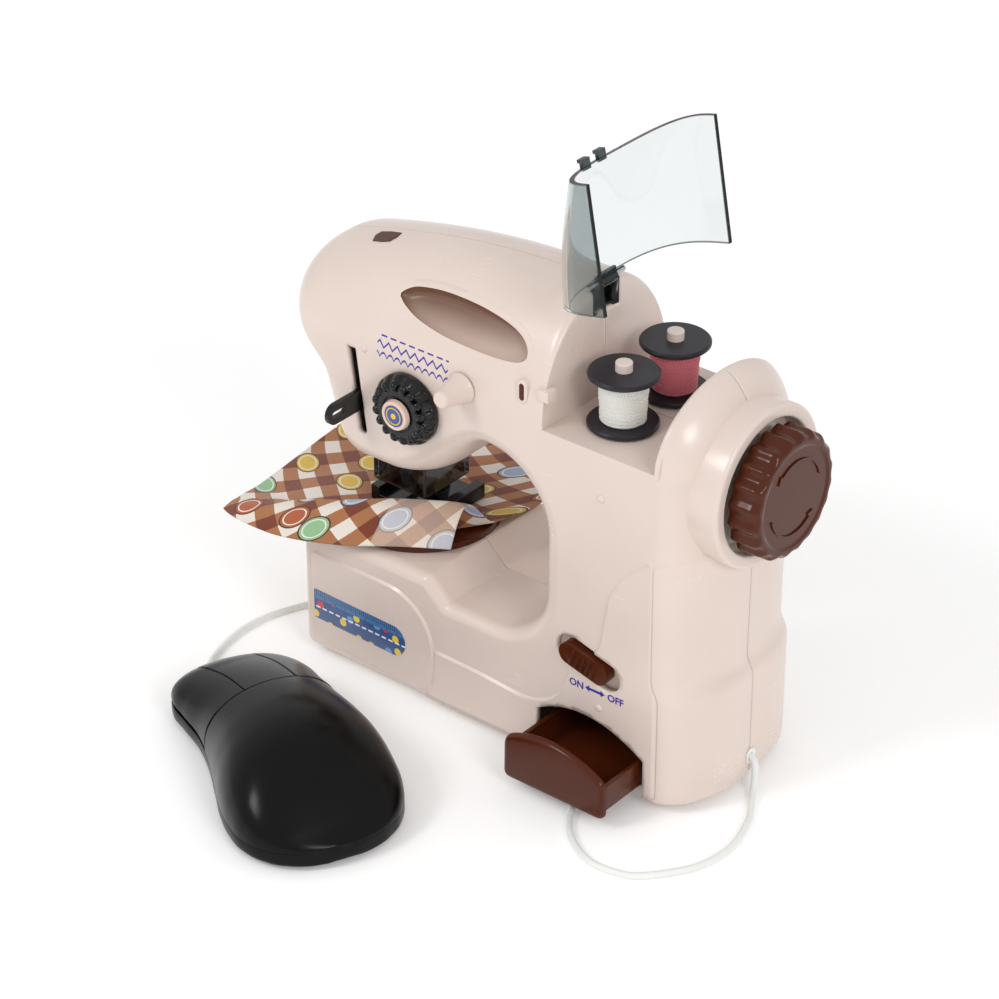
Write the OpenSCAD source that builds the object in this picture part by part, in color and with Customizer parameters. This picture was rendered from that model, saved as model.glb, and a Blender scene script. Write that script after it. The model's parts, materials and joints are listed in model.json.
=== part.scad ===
// Toy sewing machine with foot pedal, in millimetres.
// The base stands on the ground at z = 0, the front faces -Y and the handwheel is on the right.

/* [Body] */
// Half of the body's depth from the seam to the front face
half_depth = 34.7; // [33:0.1:38]
// Wall of the moulded shells
wall = 2.2; // [1.8:0.1:2.6]
// Height of the rubber feet
foot_h = 4; // [3.5:0.5:6]
// Left end of the base
base_x0 = -90.5; // [-96:0.5:-88]
// Right end of the base
base_x1 = 89.5; // [88:0.5:94]
// Height of the raised sewing table
table_z = 55; // [52:0.5:57]
// Height of the lower floor of the throat
floor_z = 46.5; // [44:0.5:48]
// Lowest point of the head
head_z = 87.5; // [86:0.5:90]
// Underside of the arm over the throat
under_z = 117.5; // [115:0.5:118]
// Height of the spool deck
deck_z = 135; // [134:0.5:138]
// Crown of the arm
crown_z = 178; // [175:0.5:182]
// Tip of the nose at the left end of the arm
nose_x = -100.5; // [-103:0.5:-98]
// Left end of the spool deck
deck_x0 = 22.6; // [22:0.2:24]
// Right end of the spool deck
deck_x1 = 70.2; // [69:0.2:71]
// Crown of the hump over the handwheel
hump_z = 161.3; // [160:0.5:165]
// Right end of the pillar
end_x = 87.5; // [86:0.5:88]
// Pillar wall inside the throat
throat_x = 22; // [20:0.5:23]

/* [Drive] */
// Height of the main shaft
shaft_z = 123; // [122.5:0.1:124]
// Radius of the main shaft
shaft_r = 2; // [1.6:0.1:2.2]
// Radius of the handwheel
wheel_r = 22.4; // [20:0.2:23.6]
// Width of the handwheel
wheel_w = 12; // [9:0.5:14]
// Radius of the collar round the handwheel
collar_r = 29.7; // [28:0.1:31]
// Throw of the crank
crank_throw = 8; // [6:0.5:9]
// Radius of the motor can
motor_r = 12; // [10:0.5:13]
// Height of the motor's axis
motor_z = 74; // [70:0.5:78]
// Radius of the large pulley
pulley_r = 15; // [12:0.5:15.5]
// Radius of the motor pulley
pinion_r = 4; // [3.5:0.5:5]

/* [Head] */
// Place of the needle along the machine
needle_x = -61; // [-63:0.5:-59]
// Radius of the needle bar
needle_bar_r = 2.5; // [2:0.1:3]
// Radius of the round needle plate
plate_r = 30; // [26:0.5:31]
// Side of the square needle guard
guard_w = 25; // [22:0.5:28]
// Radius of the tension dial at its back rim
dial_r = 13.5; // [12:0.5:14]
// Place of the dial along the machine
dial_x = -36.1; // [-38:0.5:-35]
// Height of the dial
dial_z = 123; // [121:0.5:125]
// Length of the take-up lever in front of the head
lever_out = 17; // [12:0.5:20]

/* [Spools] */
// Radius of the spool flanges
flange_r = 12.5; // [11:0.1:13]
// Height of a spool
spool_h = 20.8; // [19:0.2:21]
// Distance of each spool from the seam
spool_y = 14.4; // [13.4:0.1:14.6]
// Radius of the spool pegs
peg_r = 3; // [2.4:0.1:3.4]
// Radius of the wound thread
thread_r = 8.2; // [7:0.1:9]
// Turns in the outer layer of thread
thread_turns = 8; // [6:1:8]

/* [Cover] */
// Wall of the clear spool cover
cover_wall = 1.6; // [1.2:0.1:2]
// Height of the cover's lower edge over the deck
cover_edge = 15.5; // [14:0.5:18]
// Angle that the cover stands open
cover_open = 104; // [95:1:110]

/* [Drawer] */
// Width of the drawer
drawer_w = 45; // [40:0.5:46]
// Length of the drawer from front to back
drawer_l = 54; // [46:1:56]
// Height of the drawer's front at its sides
drawer_h = 20; // [17:0.5:21]
// How far the drawer stands out
drawer_out = 22; // [10:1:26]

/* [Switch] */
// Length of the switch recess
switch_l = 29; // [26:0.5:31]
// Height of the switch recess
switch_h = 11.5; // [10:0.5:13]
// Travel of the switch knob
switch_travel = 6; // [4:0.5:6.5]

/* [Pedal] */
// Length of the pedal
pedal_l = 114; // [100:1:120]
// Half of the pedal's greatest width
pedal_w = 32; // [28:0.5:34]
// Height of the pedal's crown
pedal_h = 35; // [30:0.5:38]
// Wall of the pedal's shells
pedal_wall = 2; // [1.6:0.1:2.4]
// Diameter of the pedal cord
cord_d = 2.5; // [2:0.1:2.8]

/* [Hidden] */
$fn = 48;

beige = "#e2d2c8";
brown = "#4b261c";
black = "#17171a";
steel = "#b9bcc0";
smoke = [0.35, 0.38, 0.38, 0.55];
rim = half_depth - 0.5;
seam_groove = 0.25;
fit = 0.05;
gap = 0.3;
end = 1;

// Each outline point holds x and z of the widest outline, x and z of the flat front's edge,
// and how deep the rounding between them runs.
function pt(o, i, b) = [o[0], o[1], i[0], i[1], b];
function curve(p, q, r, s, n) = [
    for (k = [0 : n - 1])
        let (t = k / n, m = 1 - t)
            m * m * m * p + 3 * m * m * t * q + 3 * m * t * t * r + t * t * t * s
];
function run(p, q, n) = [for (k = [0 : n - 1]) p + (q - p) * k / n];
function unit(v) = v / max(norm(v), 0.0001);

// Key points of the housing, walked counter-clockwise as seen from the front.
head_x = nose_x + 15.5;
deck_l = pt([deck_x0, deck_z], [deck_x0, deck_z], rim);
deck_r = pt([deck_x1, deck_z], [deck_x1, deck_z], rim);
wall_top = pt([deck_x0, crown_z - 2.5], [deck_x0, deck_z + 0.8], rim);
crown_r = pt([deck_x0 - 2.5, crown_z], [deck_x0 - 2.5, deck_z + 1], rim);
crown_m = pt([deck_x0 - 12, crown_z], [deck_x0 - 12, deck_z + 1.2], rim);
nose_t = pt([nose_x + 13, crown_z - 14.5], [head_x + 11, deck_z + 2.5], rim);
nose_l = pt([nose_x, crown_z - 31], [head_x + 5, deck_z - 2], 28);
head_l = pt([head_x, head_z + 31.5], [head_x + 15.5, head_z + 31.5], 27);
head_b = pt([head_x + 5.5, head_z + 12.5], [head_x + 20.5, head_z + 18.5], 26);
chin_l = pt([head_x + 23, head_z], [head_x + 27, head_z + 12.5], 24);
chin_r = pt([head_x + 35, head_z], [head_x + 35, head_z + 12.5], 24);
under = pt([throat_x - 26, under_z], [throat_x - 26, under_z + 8.5], 8);
throat_t = pt([throat_x, under_z - 26], [throat_x + 8.5, under_z - 26], 8);
throat_b = pt([throat_x, floor_z + 22], [throat_x + 8.5, floor_z + 22], 8);
floor_r = pt([throat_x - 22, floor_z], [throat_x - 22, floor_z - 4.5], 5);
ramp_b = pt([needle_x + 40, floor_z], [needle_x + 38, floor_z - 4.5], 5);
ramp_t = pt([needle_x + 31, table_z], [needle_x + 29, table_z - 4.5], 5);
table_l = pt([base_x0 + 3, table_z], [base_x0 + 6.5, table_z - 4.5], 5);
left_t = pt([base_x0, table_z - 3], [base_x0 + 4.5, table_z - 6.5], 6);
left_b = pt([base_x0, foot_h + 3], [base_x0 + 4.5, foot_h + 3.5], 6);
bottom_l = pt([base_x0 + 3, foot_h], [base_x0 + 6, foot_h + 0.8], 6);
bottom_r = pt([base_x1 - 3, foot_h], [base_x1 - 17, foot_h + 0.8], 30);
skirt_b = pt([base_x1, foot_h + 3], [base_x1 - 15, foot_h + 3.5], 30);
skirt_t = pt([base_x1, floor_z - 1.5], [base_x1 - 15, floor_z - 1.5], 30);
end_b = pt([end_x - 0.8, floor_z + 9.5], [end_x - 16, floor_z + 8.5], 31);
end_t = pt([end_x, deck_z + 5], [deck_x1 + 0.8, deck_z - 7], 32);
hump_r = pt([deck_x1 + 2.8, hump_z], [deck_x1 + 0.1, deck_z + 0.6], rim);
hump_l = pt([deck_x1, hump_z - 2.8], [deck_x1, deck_z + 0.5], rim);

function shift(p, o, i) = p + [o[0], o[1], i[0], i[1], 0];

outline = concat(
    run(deck_l, wall_top, 4),
    curve(wall_top, shift(wall_top, [0, 1.4], [0, 0.1]), shift(crown_r, [1.1, 0], [1, 0]), crown_r, 3),
    run(crown_r, crown_m, 2),
    curve(crown_m, shift(crown_m, [-35, 0], [-32, 1]), shift(nose_t, [34, 9.6], [26, 0.5]), nose_t, 11),
    curve(nose_t, shift(nose_t, [-7.4, -2.1], [-3, -0.5]), shift(nose_l, [0, 7.6], [0.5, 2.5]), nose_l, 6),
    curve(nose_l, shift(nose_l, [0, -9], [0, -4]), shift(head_l, [-2.5, 15], [-2, 7]), head_l, 6),
    run(head_l, head_b, 3),
    curve(head_b, shift(head_b, [2, -8], [0.7, -4]), shift(chin_l, [-10, 0.5], [-4, 0]), chin_l, 6),
    run(chin_l, chin_r, 2),
    curve(chin_r, shift(chin_r, [26, 0], [18, 0]), shift(under, [-12, 0], [-18, 0]), under, 10),
    curve(under, shift(under, [14.4, 0], [19, 0]), shift(throat_t, [0, 14.4], [0, 19]), throat_t, 8),
    run(throat_t, throat_b, 2),
    curve(throat_b, shift(throat_b, [0, -12.2], [0, -14.5]), shift(floor_r, [12.2, 0], [17, 0]), floor_r, 7),
    run(floor_r, ramp_b, 2),
    run(ramp_b, ramp_t, 2),
    run(ramp_t, table_l, 4),
    curve(table_l, shift(table_l, [-1.7, 0], [-1, 0]), shift(left_t, [0, 1.7], [0, 1]), left_t, 3),
    run(left_t, left_b, 2),
    curve(left_b, shift(left_b, [0, -1.7], [0, -1]), shift(bottom_l, [-1.7, 0], [-1, 0]), bottom_l, 3),
    run(bottom_l, bottom_r, 6),
    curve(bottom_r, shift(bottom_r, [1.7, 0], [1, 0]), shift(skirt_b, [0, -1.7], [0, -1]), skirt_b, 3),
    run(skirt_b, skirt_t, 2),
    curve(skirt_t, shift(skirt_t, [0, 5], [0, 4]), shift(end_b, [-0.3, -6], [0, -5]), end_b, 4),
    run(end_b, end_t, 4),
    curve(end_t, shift(end_t, [-3.5, 13], [0, 4]), shift(hump_r, [4.6, -1.2], [0.3, -1.6]), hump_r, 8),
    curve(hump_r, shift(hump_r, [-1.5, 0.1], [0, 0]), shift(hump_l, [0, 1.5], [0, 0]), hump_l, 3),
    run(hump_l, deck_r, 4),
    run(deck_r, deck_l, 3)
);

// Outline moved inwards by d, with the rounding made smaller by the same amount.
function inset_point(p, before, after, d) =
    let (t = unit([after[0] - before[0], after[1] - before[1]]),
         n = [-t[1], t[0]],
         across = [p[2] - p[0], p[3] - p[1]],
         a = norm(across),
         way = a > 0.05 ? across / a : n,
         o = [p[0], p[1]] + n * d,
         i = o + way * max(a - d, 0.3),
         by_deck = o[0] > deck_x1 && o[1] > deck_z - 12)
    pt(o, by_deck ? [max(i[0], deck_x1 + d), i[1]] : i, max(p[4] - d, 0.5));
function inset(line, d) =
    let (n = len(line))
    [for (k = [0 : n - 1]) inset_point(line[k], line[(k + n - 1) % n], line[(k + 1) % n], d)];

// Solid skinned over rings of n points each; the first ring faces the way that its points run clockwise.
module skin(points, n, rings) {
    faces = concat(
        [[for (k = [n - 1 : -1 : 0]) k]],
        [for (r = [0 : rings - 2]) for (k = [0 : n - 1])
            [r * n + k, r * n + (k + 1) % n, (r + 1) * n + (k + 1) % n]],
        [for (r = [0 : rings - 2]) for (k = [0 : n - 1])
            [r * n + k, (r + 1) * n + (k + 1) % n, (r + 1) * n + k]],
        [[for (k = [0 : n - 1]) (rings - 1) * n + k]]
    );
    polyhedron(points, faces, 10);
}

// Half body between the front face and the seam: rings run from the flat front to the widest outline.
module half_body(line, depth, rings, seam_line, seam_y) {
    turns = [for (k = [0 : rings]) 90 * k / rings];
    skin(
        concat(
            [for (a = turns) for (p = line)
                [p[2] + (p[0] - p[2]) * sin(a), p[4] - depth - p[4] * cos(a), p[3] + (p[1] - p[3]) * sin(a)]],
            [for (p = seam_line) [p[0], seam_y, p[1]]]
        ),
        len(line), rings + 2
    );
}

module outer_half() {
    half_body(outline, half_depth, 4, inset(outline, seam_groove), 0);
}

module cavity_half() {
    half_body(inset(outline, wall), half_depth - wall, 2, inset(outline, wall), 1);
}

// Small helpers for placing plain shapes.
module block(p, q) {
    translate(p) cube(q - p);
}

module along_x(x, y, z) {
    translate([x, y, z]) rotate([0, 90, 0]) children();
}

module along_y(x, y, z) {
    translate([x, y, z]) rotate([-90, 0, 0]) children();
}

module ring(r_out, r_in, h) {
    difference() {
        cylinder(r = r_out, h = h);
        translate([0, 0, -end]) cylinder(r = r_in, h = h + 2 * end);
    }
}

module front_panel(points, y, depth) {
    translate([0, y, 0]) rotate([90, 0, 0]) linear_extrude(depth) polygon(points);
}

// Places shared by several pieces.
screws = [[-82, 42], [6, 30], [66, 38], [34, 104], [6, 131], [-73, 131]];
feet = [[0, 0], [-83, -24], [-83, 24], [74, -20], [74, 20]];
bay_x0 = -76;
bay_x1 = -22;
bay_y = 26;
cell_r = 7.1;
cell_y = 16.5;
cell_z = foot_h + 11.5;
spool_x = (deck_x0 + deck_x1) / 2 - 4.9;
hinge_x = deck_x0 - 0.6;
hinge_z = crown_z + 0.5;
pulley_x = deck_x1 + wall + 1;
pulley_w = 3.8;
wheel_x = end_x + 4.2;
presser_y = 7.5;
presser_r = 2;
cord_z = 12;
drawer_x0 = 45.5 - drawer_w / 2;
drawer_x1 = 45.5 + drawer_w / 2;
lever_way = unit([-5.5, 0, 38.8]);
lever_at = [needle_x - 0.15, -20, 125.4];
lever_x = lever_at[0] - lever_way[0] * 8.08;
front_y = -half_depth;
knob_x = (switch_l - switch_travel - 1.4) / 2 - 4.2;

module at_switch() {
    translate([44.3, 0, 50]) rotate([0, 14.5, 0]) children();
}

// Arched outline of the drawer front, grown by g.
function drawer_arch(g, low) = concat(
    [[drawer_x0 - g, low], [drawer_x1 + g, low]],
    curve([drawer_x1 + g, drawer_h - 1.5 + g], [drawer_x1 - 14, drawer_h + 8 + g],
        [drawer_x0 + 15, drawer_h + 11 + g], [drawer_x0 - g, drawer_h + 1 + g], 12),
    [[drawer_x0 - g, drawer_h + 1 + g]]
);

// Housing
module bosses(side) {
    intersection() {
        if (side < 0) outer_half(); else mirror([0, 1, 0]) outer_half();
        union() {
            for (s = screws)
                hull() {
                    along_y(s[0], side < 0 ? -40 : 0, s[1]) cylinder(r = 4, h = 40, $fn = 16);
                    along_y(s[0], side * 32, s[1] + 6) cylinder(r = 1, h = 1, $fn = 6);
                }
            block([-30, -40, 108], [-26, 40, 138]);
            block([needle_x - 11, -40, 140], [needle_x + 9, 40, 143]);
            block([needle_x - 9, -40, 150], [needle_x + 3, -14, 152.5]);
            block([needle_x - 13, -40, 98], [needle_x + 11, 40, 101]);
            along_x(80, 0, shaft_z) cylinder(r = 7, h = 6, $fn = 24);
        }
    }
}

// Finger scoop in the front of the arm, grown by g for the wall behind it.
module scoop(g) {
    hull()
        for (p = [[-39, -31.2, 163, 5], [-16, -33.4, 164.4, 8.6], [5.5, -34.4, 160.8, 6.4]])
            translate([p[0], p[1], p[2]]) sphere(r = p[3] + g, $fn = 20);
}

module collar(side) {
    intersection() {
        along_x(end_x - 9.5, 0, shaft_z) ring(collar_r, collar_r - 5.1, 14.2, $fn = 48);
        block([60, side < 0 ? -40 : 0, 60], [120, side < 0 ? 0 : 40, 170]);
    }
}

module shared_cuts() {
    block([needle_x - guard_w / 2 - 0.1, -guard_w / 2 - 0.1, 80], [needle_x + guard_w / 2 + 0.1,
        guard_w / 2 + 0.1, 97]);
    block([bay_x0, -bay_y, 0], [bay_x1, bay_y, foot_h + 5]);
    for (f = feet) translate([f[0], f[1], 0]) cylinder(r = 2.55, h = 12, $fn = 16);
    along_x(60, 0, shaft_z) cylinder(r = 4.05, h = 40, $fn = 24);
    along_x(-40, 0, shaft_z) cylinder(r = 4.05, h = 30, $fn = 24);
    translate([needle_x, 0, 90]) cylinder(r = 3.85, h = 70, $fn = 24);
    translate([needle_x, presser_y, 90]) cylinder(r = 3.25, h = 70, $fn = 24);
    translate(lever_at - lever_way * 22) rotate([0, -8.07, 0]) cylinder(r = 5, h = 46, $fn = 20);
    for (s = screws) along_y(s[0], -14, s[1]) cylinder(r = 1.5, h = 60, $fn = 12);
    along_x(70, 0, cord_z) cylinder(r = 3.05, h = 30, $fn = 16);
    for (y = [-spool_y, spool_y]) translate([spool_x, y, deck_z - 8]) cylinder(r = peg_r + 0.1, h = 20,
        $fn = 24);
    block([hinge_x - 4, -7, hinge_z - 12], [hinge_x + 4, 7, hinge_z + 6]);
    along_y(hinge_x, -20, hinge_z) cylinder(r = 1.05, h = 40, $fn = 16);
}

// Ears that hold the ends of the cover's pin beside the recess.
module ears(side) {
    difference() {
        hull() {
            along_y(hinge_x, side < 0 ? -11 : 7.2, hinge_z) cylinder(r = 2.4, h = 3.8, $fn = 20);
            block([hinge_x - 6, side < 0 ? -11 : 7.2, hinge_z - 8], [hinge_x - 1.4, side < 0 ? -7.2 : 11,
                hinge_z - 4]);
        }
        along_y(hinge_x, -20, hinge_z) cylinder(r = 1.05, h = 40, $fn = 16);
    }
}

module front_shell() {
    color(beige)
        union() {
            difference() {
                union() {
                    difference() {
                        union() {
                            outer_half();
                            collar(-1);
                            hull()
                                for (p = [[-80, 40], [-45, 39], [-33, 28], [-34, 10], [-78, 14]])
                                    along_y(p[0], front_y - 0.7, p[1]) cylinder(r = 5, h = 3, $fn = 20);
                        }
                        cavity_half();
                    }
                    bosses(-1);
                    intersection() {
                        outer_half();
                        scoop(wall);
                    }
                    block([deck_x0 - 2.3, front_y + 0.3, deck_z + 10.6],
                        [deck_x0 + 2.4, front_y + 4, deck_z + 14.9]);
                }
                shared_cuts();
                front_panel(drawer_arch(1, foot_h + 2.2), -31, 20);
                block([drawer_x0 - 1, -60, 0], [drawer_x1 + 1, -31.9, 12]);
                at_switch()
                    hull()
                        for (x = [-1, 1])
                            along_y(x * (switch_l - switch_h) / 2, -45, 0)
                                cylinder(r = switch_h / 2, h = 15, $fn = 24);
                hull()
                    for (s = [-19.6, 19.6])
                        along_y(lever_at[0] + lever_way[0] * s, -45, lever_at[2] + lever_way[2] * s)
                            cylinder(r = 2, h = 15, $fn = 16);
                hull()
                    for (z = [144.4, 148.8])
                        along_y(13.8, -45, z) cylinder(r = 1.1, h = 15, $fn = 12);
                scoop(0);
                along_y(dial_x, -45, dial_z) cylinder(r = 2.5, h = 15, $fn = 24);
                along_y(-12.6, -45, 138.8) cylinder(r = 2.05, h = 15, $fn = 24);
            }
            ears(-1);
        }
}

module rear_shell() {
    color(beige)
        union() {
            difference() {
                union() {
                    difference() {
                        union() {
                            mirror([0, 1, 0]) outer_half();
                            collar(1);
                        }
                        mirror([0, 1, 0]) cavity_half();
                    }
                    bosses(1);
                }
                shared_cuts();
                for (s = screws) along_y(s[0], 31.8, s[1]) cylinder(r = 3.2, h = 10, $fn = 20);
                for (k = [0 : 3])
                    hull()
                        for (z = [66, 84])
                            along_y(48 + 5 * k, 25, z) cylinder(r = 1.1, h = 15, $fn = 12);
            }
            ears(1);
        }
}

module rubber_feet() {
    color(black)
        for (f = feet)
            translate([f[0], f[1], 0])
                rotate_extrude($fn = 32)
                    polygon([[0, 0], [4.4, 0], [5, 0.6], [5, foot_h - 0.05], [2.5, foot_h - 0.05],
                        [2.5, foot_h + 2], [0, foot_h + 2]]);
}

module housing_screws() {
    color(steel)
        for (s = screws)
            along_y(s[0], -13, s[1]) {
                cylinder(r = 1.45, h = 45);
                translate([0, 0, 44.9]) cylinder(r = 2.9, h = 1.7);
            }
}

// Battery bay
module battery_tray() {
    color("#d8c8bd")
        difference() {
            block([bay_x0 - 1.5, -bay_y - 1.5, foot_h + 2.3], [bay_x1 + 1.5, bay_y + 1.5, foot_h + 20.5]);
            block([bay_x0, -bay_y, 0], [bay_x1, bay_y, foot_h + 19]);
        }
}

module battery_cells() {
    color("#3d6f4a")
        for (y = [-cell_y, 0, cell_y])
            along_x(bay_x0 + 2.4, y, cell_z) {
                cylinder(r = cell_r, h = 48.2);
                translate([0, 0, 48.2]) cylinder(r = 2.6, h = 1.2);
            }
}

module battery_contacts() {
    color(steel)
        for (y = [-cell_y, 0, cell_y]) {
            block([bay_x0 + 0.1, y - 5, cell_z - 5], [bay_x0 + 0.6, y + 5, cell_z + 5]);
            block([bay_x1 - 0.6, y - 5, cell_z - 5], [bay_x1 - 0.1, y + 5, cell_z + 5]);
            along_x(bay_x0 + 0.6, y, cell_z) cylinder(r1 = 4.5, r2 = 2.5, h = 1.6);
        }
}

module battery_door() {
    color(beige)
        difference() {
            block([bay_x0 + gap, -bay_y + gap, foot_h], [bay_x1 - gap, bay_y - gap, foot_h + 2]);
            for (k = [-2 : 2])
                block([bay_x0 + 8, 2.4 * k - 0.5, foot_h - 1], [bay_x0 + 20, 2.4 * k + 0.5, foot_h + 0.8]);
        }
}

// Sewing head
module needle_plate() {
    color(brown)
        difference() {
            translate([needle_x, 0, table_z + 0.05]) cylinder(r1 = plate_r, r2 = plate_r - 0.8, h = 1.95,
                $fn = 72);
            translate([needle_x, 0, table_z - 1]) cylinder(r = 1.8, h = 5);
            for (x = [-6, 4])
                block([needle_x + x, -9, table_z - 1], [needle_x + x + 2, 9, table_z + 4]);
        }
}

module needle_guard() {
    color(smoke)
        difference() {
            block([needle_x - guard_w / 2, -guard_w / 2, 70], [needle_x + guard_w / 2, guard_w / 2, 92]);
            block([needle_x - guard_w / 2 + 1.5, -guard_w / 2 + 1.5, 60],
                [needle_x + guard_w / 2 - 1.5, guard_w / 2 - 1.5, 95]);
        }
}

module presser_foot() {
    color(black)
        difference() {
            union() {
                block([needle_x - 16, -10, table_z + 4], [needle_x + 16, 17, table_z + 6.6]);
                block([needle_x - 16, -10, table_z + 6.5], [needle_x - 12, 17, table_z + 10]);
                block([needle_x + 12, -10, table_z + 6.5], [needle_x + 16, 17, table_z + 10]);
                block([needle_x - 5, 3.5, table_z + 6.5], [needle_x + 5, 10.5, table_z + 14]);
            }
            block([needle_x - 3, -20, table_z], [needle_x + 3, 2.5, table_z + 20]);
            translate([needle_x, presser_y, table_z + 9]) cylinder(r = presser_r, h = 10);
        }
}

module presser_bar() {
    color(steel)
        translate([needle_x, presser_y, table_z + 9.05]) cylinder(r = presser_r, h = 83);
}

module bar_guides() {
    color("#8a8d92")
        for (z = [97, 139]) {
            translate([needle_x, 0, z]) ring(3.8, needle_bar_r + fit, 5);
            translate([needle_x, presser_y, z]) ring(3.2, presser_r + fit, 5);
        }
}

module needle_bar() {
    color(steel)
        union() {
            translate([needle_x, 0, 80]) cylinder(r = needle_bar_r, h = 70);
            block([needle_x, -2, 116], [needle_x + 3.5, 2, 122]);
            difference() {
                block([needle_x + 2.6, -12, 114], [needle_x + 5.4, 12, 124]);
                block([needle_x + 1, -10, 119 - 1.6], [needle_x + 7, 10, 119 + 1.6]);
            }
        }
}

module needle() {
    color("#d5d7da")
        translate([needle_x, 0, 64]) {
            cylinder(r1 = 0.15, r2 = 0.75, h = 5, $fn = 24);
            translate([0, 0, 5]) cylinder(r = 0.75, h = 11, $fn = 24);
        }
}

module take_up_lever() {
    color(black)
        difference() {
            union() {
                translate(lever_at - lever_way * 12)
                    rotate([0, -8.07, 0]) cylinder(r = 4, h = 8);
                block([lever_x - 0.9, front_y - lever_out + 4, 113.4], [lever_x + 0.9, -22, 121.4]);
                along_x(lever_x - 0.9, front_y - lever_out + 4, 117.4) cylinder(r = 4, h = 1.8);
            }
            translate(lever_at - lever_way * 30)
                rotate([0, -8.07, 0]) cylinder(r = 1.5 + fit, h = 50);
            block([needle_x - 3, front_y - lever_out + 3.4, 116.2], [needle_x + 4,
                front_y - lever_out + 8, 118.6]);
            along_x(needle_x - 3, front_y - lever_out + 3.4, 117.4) cylinder(r = 1.2, h = 8);
            along_x(needle_x - 3, front_y - lever_out + 8, 117.4) cylinder(r = 1.2, h = 8);
        }
}

module lever_rod() {
    color(steel)
        translate(lever_at - lever_way * 24.2)
            rotate([0, -8.07, 0]) cylinder(r = 1.5, h = 48.4);
}

module tension_dial() {
    color(black)
        difference() {
            union() {
                along_y(dial_x, front_y - 7.4, dial_z)
                    rotate_extrude($fn = 64)
                        polygon([[0, 0], [dial_r - 3.4, 0], [dial_r - 2.6, 0.8], [dial_r - 1.4, 3],
                            [dial_r, 4.4], [dial_r, 7], [0, 7]]);
                for (k = [0 : 15])
                    along_y(dial_x + (dial_r - 2.6) * cos(22.5 * k), front_y - 7.6,
                        dial_z + (dial_r - 2.6) * sin(22.5 * k))
                        cylinder(r = 1.5, h = 5, $fn = 20);
            }
            along_y(dial_x, front_y - 6.2, dial_z) cylinder(r = 2.45 + fit, h = 20);
        }
}

module dial_cap() {
    color("#e8c9b4")
        along_y(dial_x, front_y - 9, dial_z) cylinder(r1 = 5.2, r2 = 5.8, h = 1.5);
}

module dial_spindle() {
    color(steel)
        along_y(dial_x, front_y - 5.9, dial_z) {
            cylinder(r = 2.45, h = 10);
            translate([0, 0, 8.3]) cylinder(r = 5, h = 1.7);
        }
}

module thread_post() {
    color(beige)
        along_y(-12.6, front_y - 11.8, 138.8) {
            rotate_extrude($fn = 40)
                polygon([[0, 0], [2.6, 0], [3.2, 0.6], [3.4, 3], [5, 9.5], [6, 11.6], [0, 11.6]]);
            cylinder(r = 2, h = 14.5);
        }
}

// Spools
module spool_pegs() {
    color(beige) {
        for (y = [-spool_y, spool_y])
            translate([spool_x, y, deck_z - 3.4])
                cylinder(r = peg_r, h = spool_h + 7);
        block([spool_x - 6, -spool_y - 6, deck_z - wall - 3], [spool_x + 6, spool_y + 6,
            deck_z - wall - 0.1]);
    }
}

module spool(y) {
    translate([spool_x, y, deck_z + gap])
        rotate_extrude($fn = 64)
            polygon([[peg_r + 0.08, 0], [flange_r - 0.6, 0], [flange_r, 0.6], [flange_r, 1.5],
                [flange_r - 0.5, 2],
                [5.5, 2], [5.5, spool_h - 2], [flange_r - 0.5, spool_h - 2], [flange_r, spool_h - 1.5],
                [flange_r, spool_h - 0.6], [flange_r - 0.6, spool_h], [peg_r + 0.08, spool_h]]);
}

module front_spool() {
    color("#2d2a30") spool(-spool_y);
}

module rear_spool() {
    color("#2d2a30") spool(spool_y);
}

module thread_core(y) {
    translate([spool_x, y, deck_z + gap + 2.1]) ring(thread_r, 5.55, spool_h - 4.2);
}

module front_thread() {
    color("#e1e1d7") thread_core(-spool_y);
}

module rear_thread() {
    color("#b9505f") thread_core(spool_y);
}

// Outer layer of thread: one unbroken helix on the core.
strand_r = 0.6;
coil_r = thread_r + strand_r + 0.1;
turns = min(thread_turns, floor((spool_h - 6) / 1.65));
pitch = (spool_h - 4 - 2 * strand_r - 0.8) / turns;
coil_low = deck_z + gap + 2.4 + strand_r;
ring_n = 24;
function coil_ring(k, y) =
    let (a = 360 * k / ring_n,
         c = [spool_x + coil_r * cos(a), y + coil_r * sin(a), coil_low + pitch * k / ring_n],
         out = [cos(a), sin(a), 0])
    [for (j = [0 : 5]) c + strand_r * (out * cos(60 * j) + [0, 0, 1] * sin(60 * j))];
echo(strand_gap = norm([0, 0, pitch]) - 2 * strand_r);

module winding(y) {
    skin([for (k = [0 : turns * ring_n]) for (p = coil_ring(k, y)) p], 6, turns * ring_n + 1);
}

module front_winding() {
    color("#ecece4") winding(-spool_y);
}

module rear_winding() {
    color("#c25c6c") winding(spool_y);
}

// Clear cover: an arched skin between the arm and the hump, drawn closed and turned open on its hinge.
cover_n = 16;
cover_x0 = deck_x0 + 1;
cover_x1 = deck_x1 - 0.6;
function cover_top(x) =
    let (t = (x - cover_x0) / (cover_x1 - cover_x0))
    crown_z + 1 + (hump_z - crown_z) * (0.35 * t + 0.65 * t * t);
function squared(v) = sign(v) * pow(abs(v), 0.62);
function cover_low(x) = deck_z + cover_edge - 3 * (x - cover_x0) / (cover_x1 - cover_x0);
function cover_point(x, k, d) =
    let (low = cover_low(x), a = 180 * k / cover_n)
    [x, -(half_depth + 0.6 - d) * squared(cos(a)), low + (cover_top(x) - d - low) * squared(sin(a))];
function cover_tab(y) = cover_low(cover_x1)
    + (cover_top(cover_x1) - cover_low(cover_x1)) * pow(1 - pow(abs(y + 2) / half_depth, 3.2), 0.31) - 0.6;
function cover_ring(x) = concat(
    [for (k = [0 : cover_n]) cover_point(x, k, 0)],
    [for (k = [cover_n : -1 : 0]) cover_point(x, k, cover_wall)]
);

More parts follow.
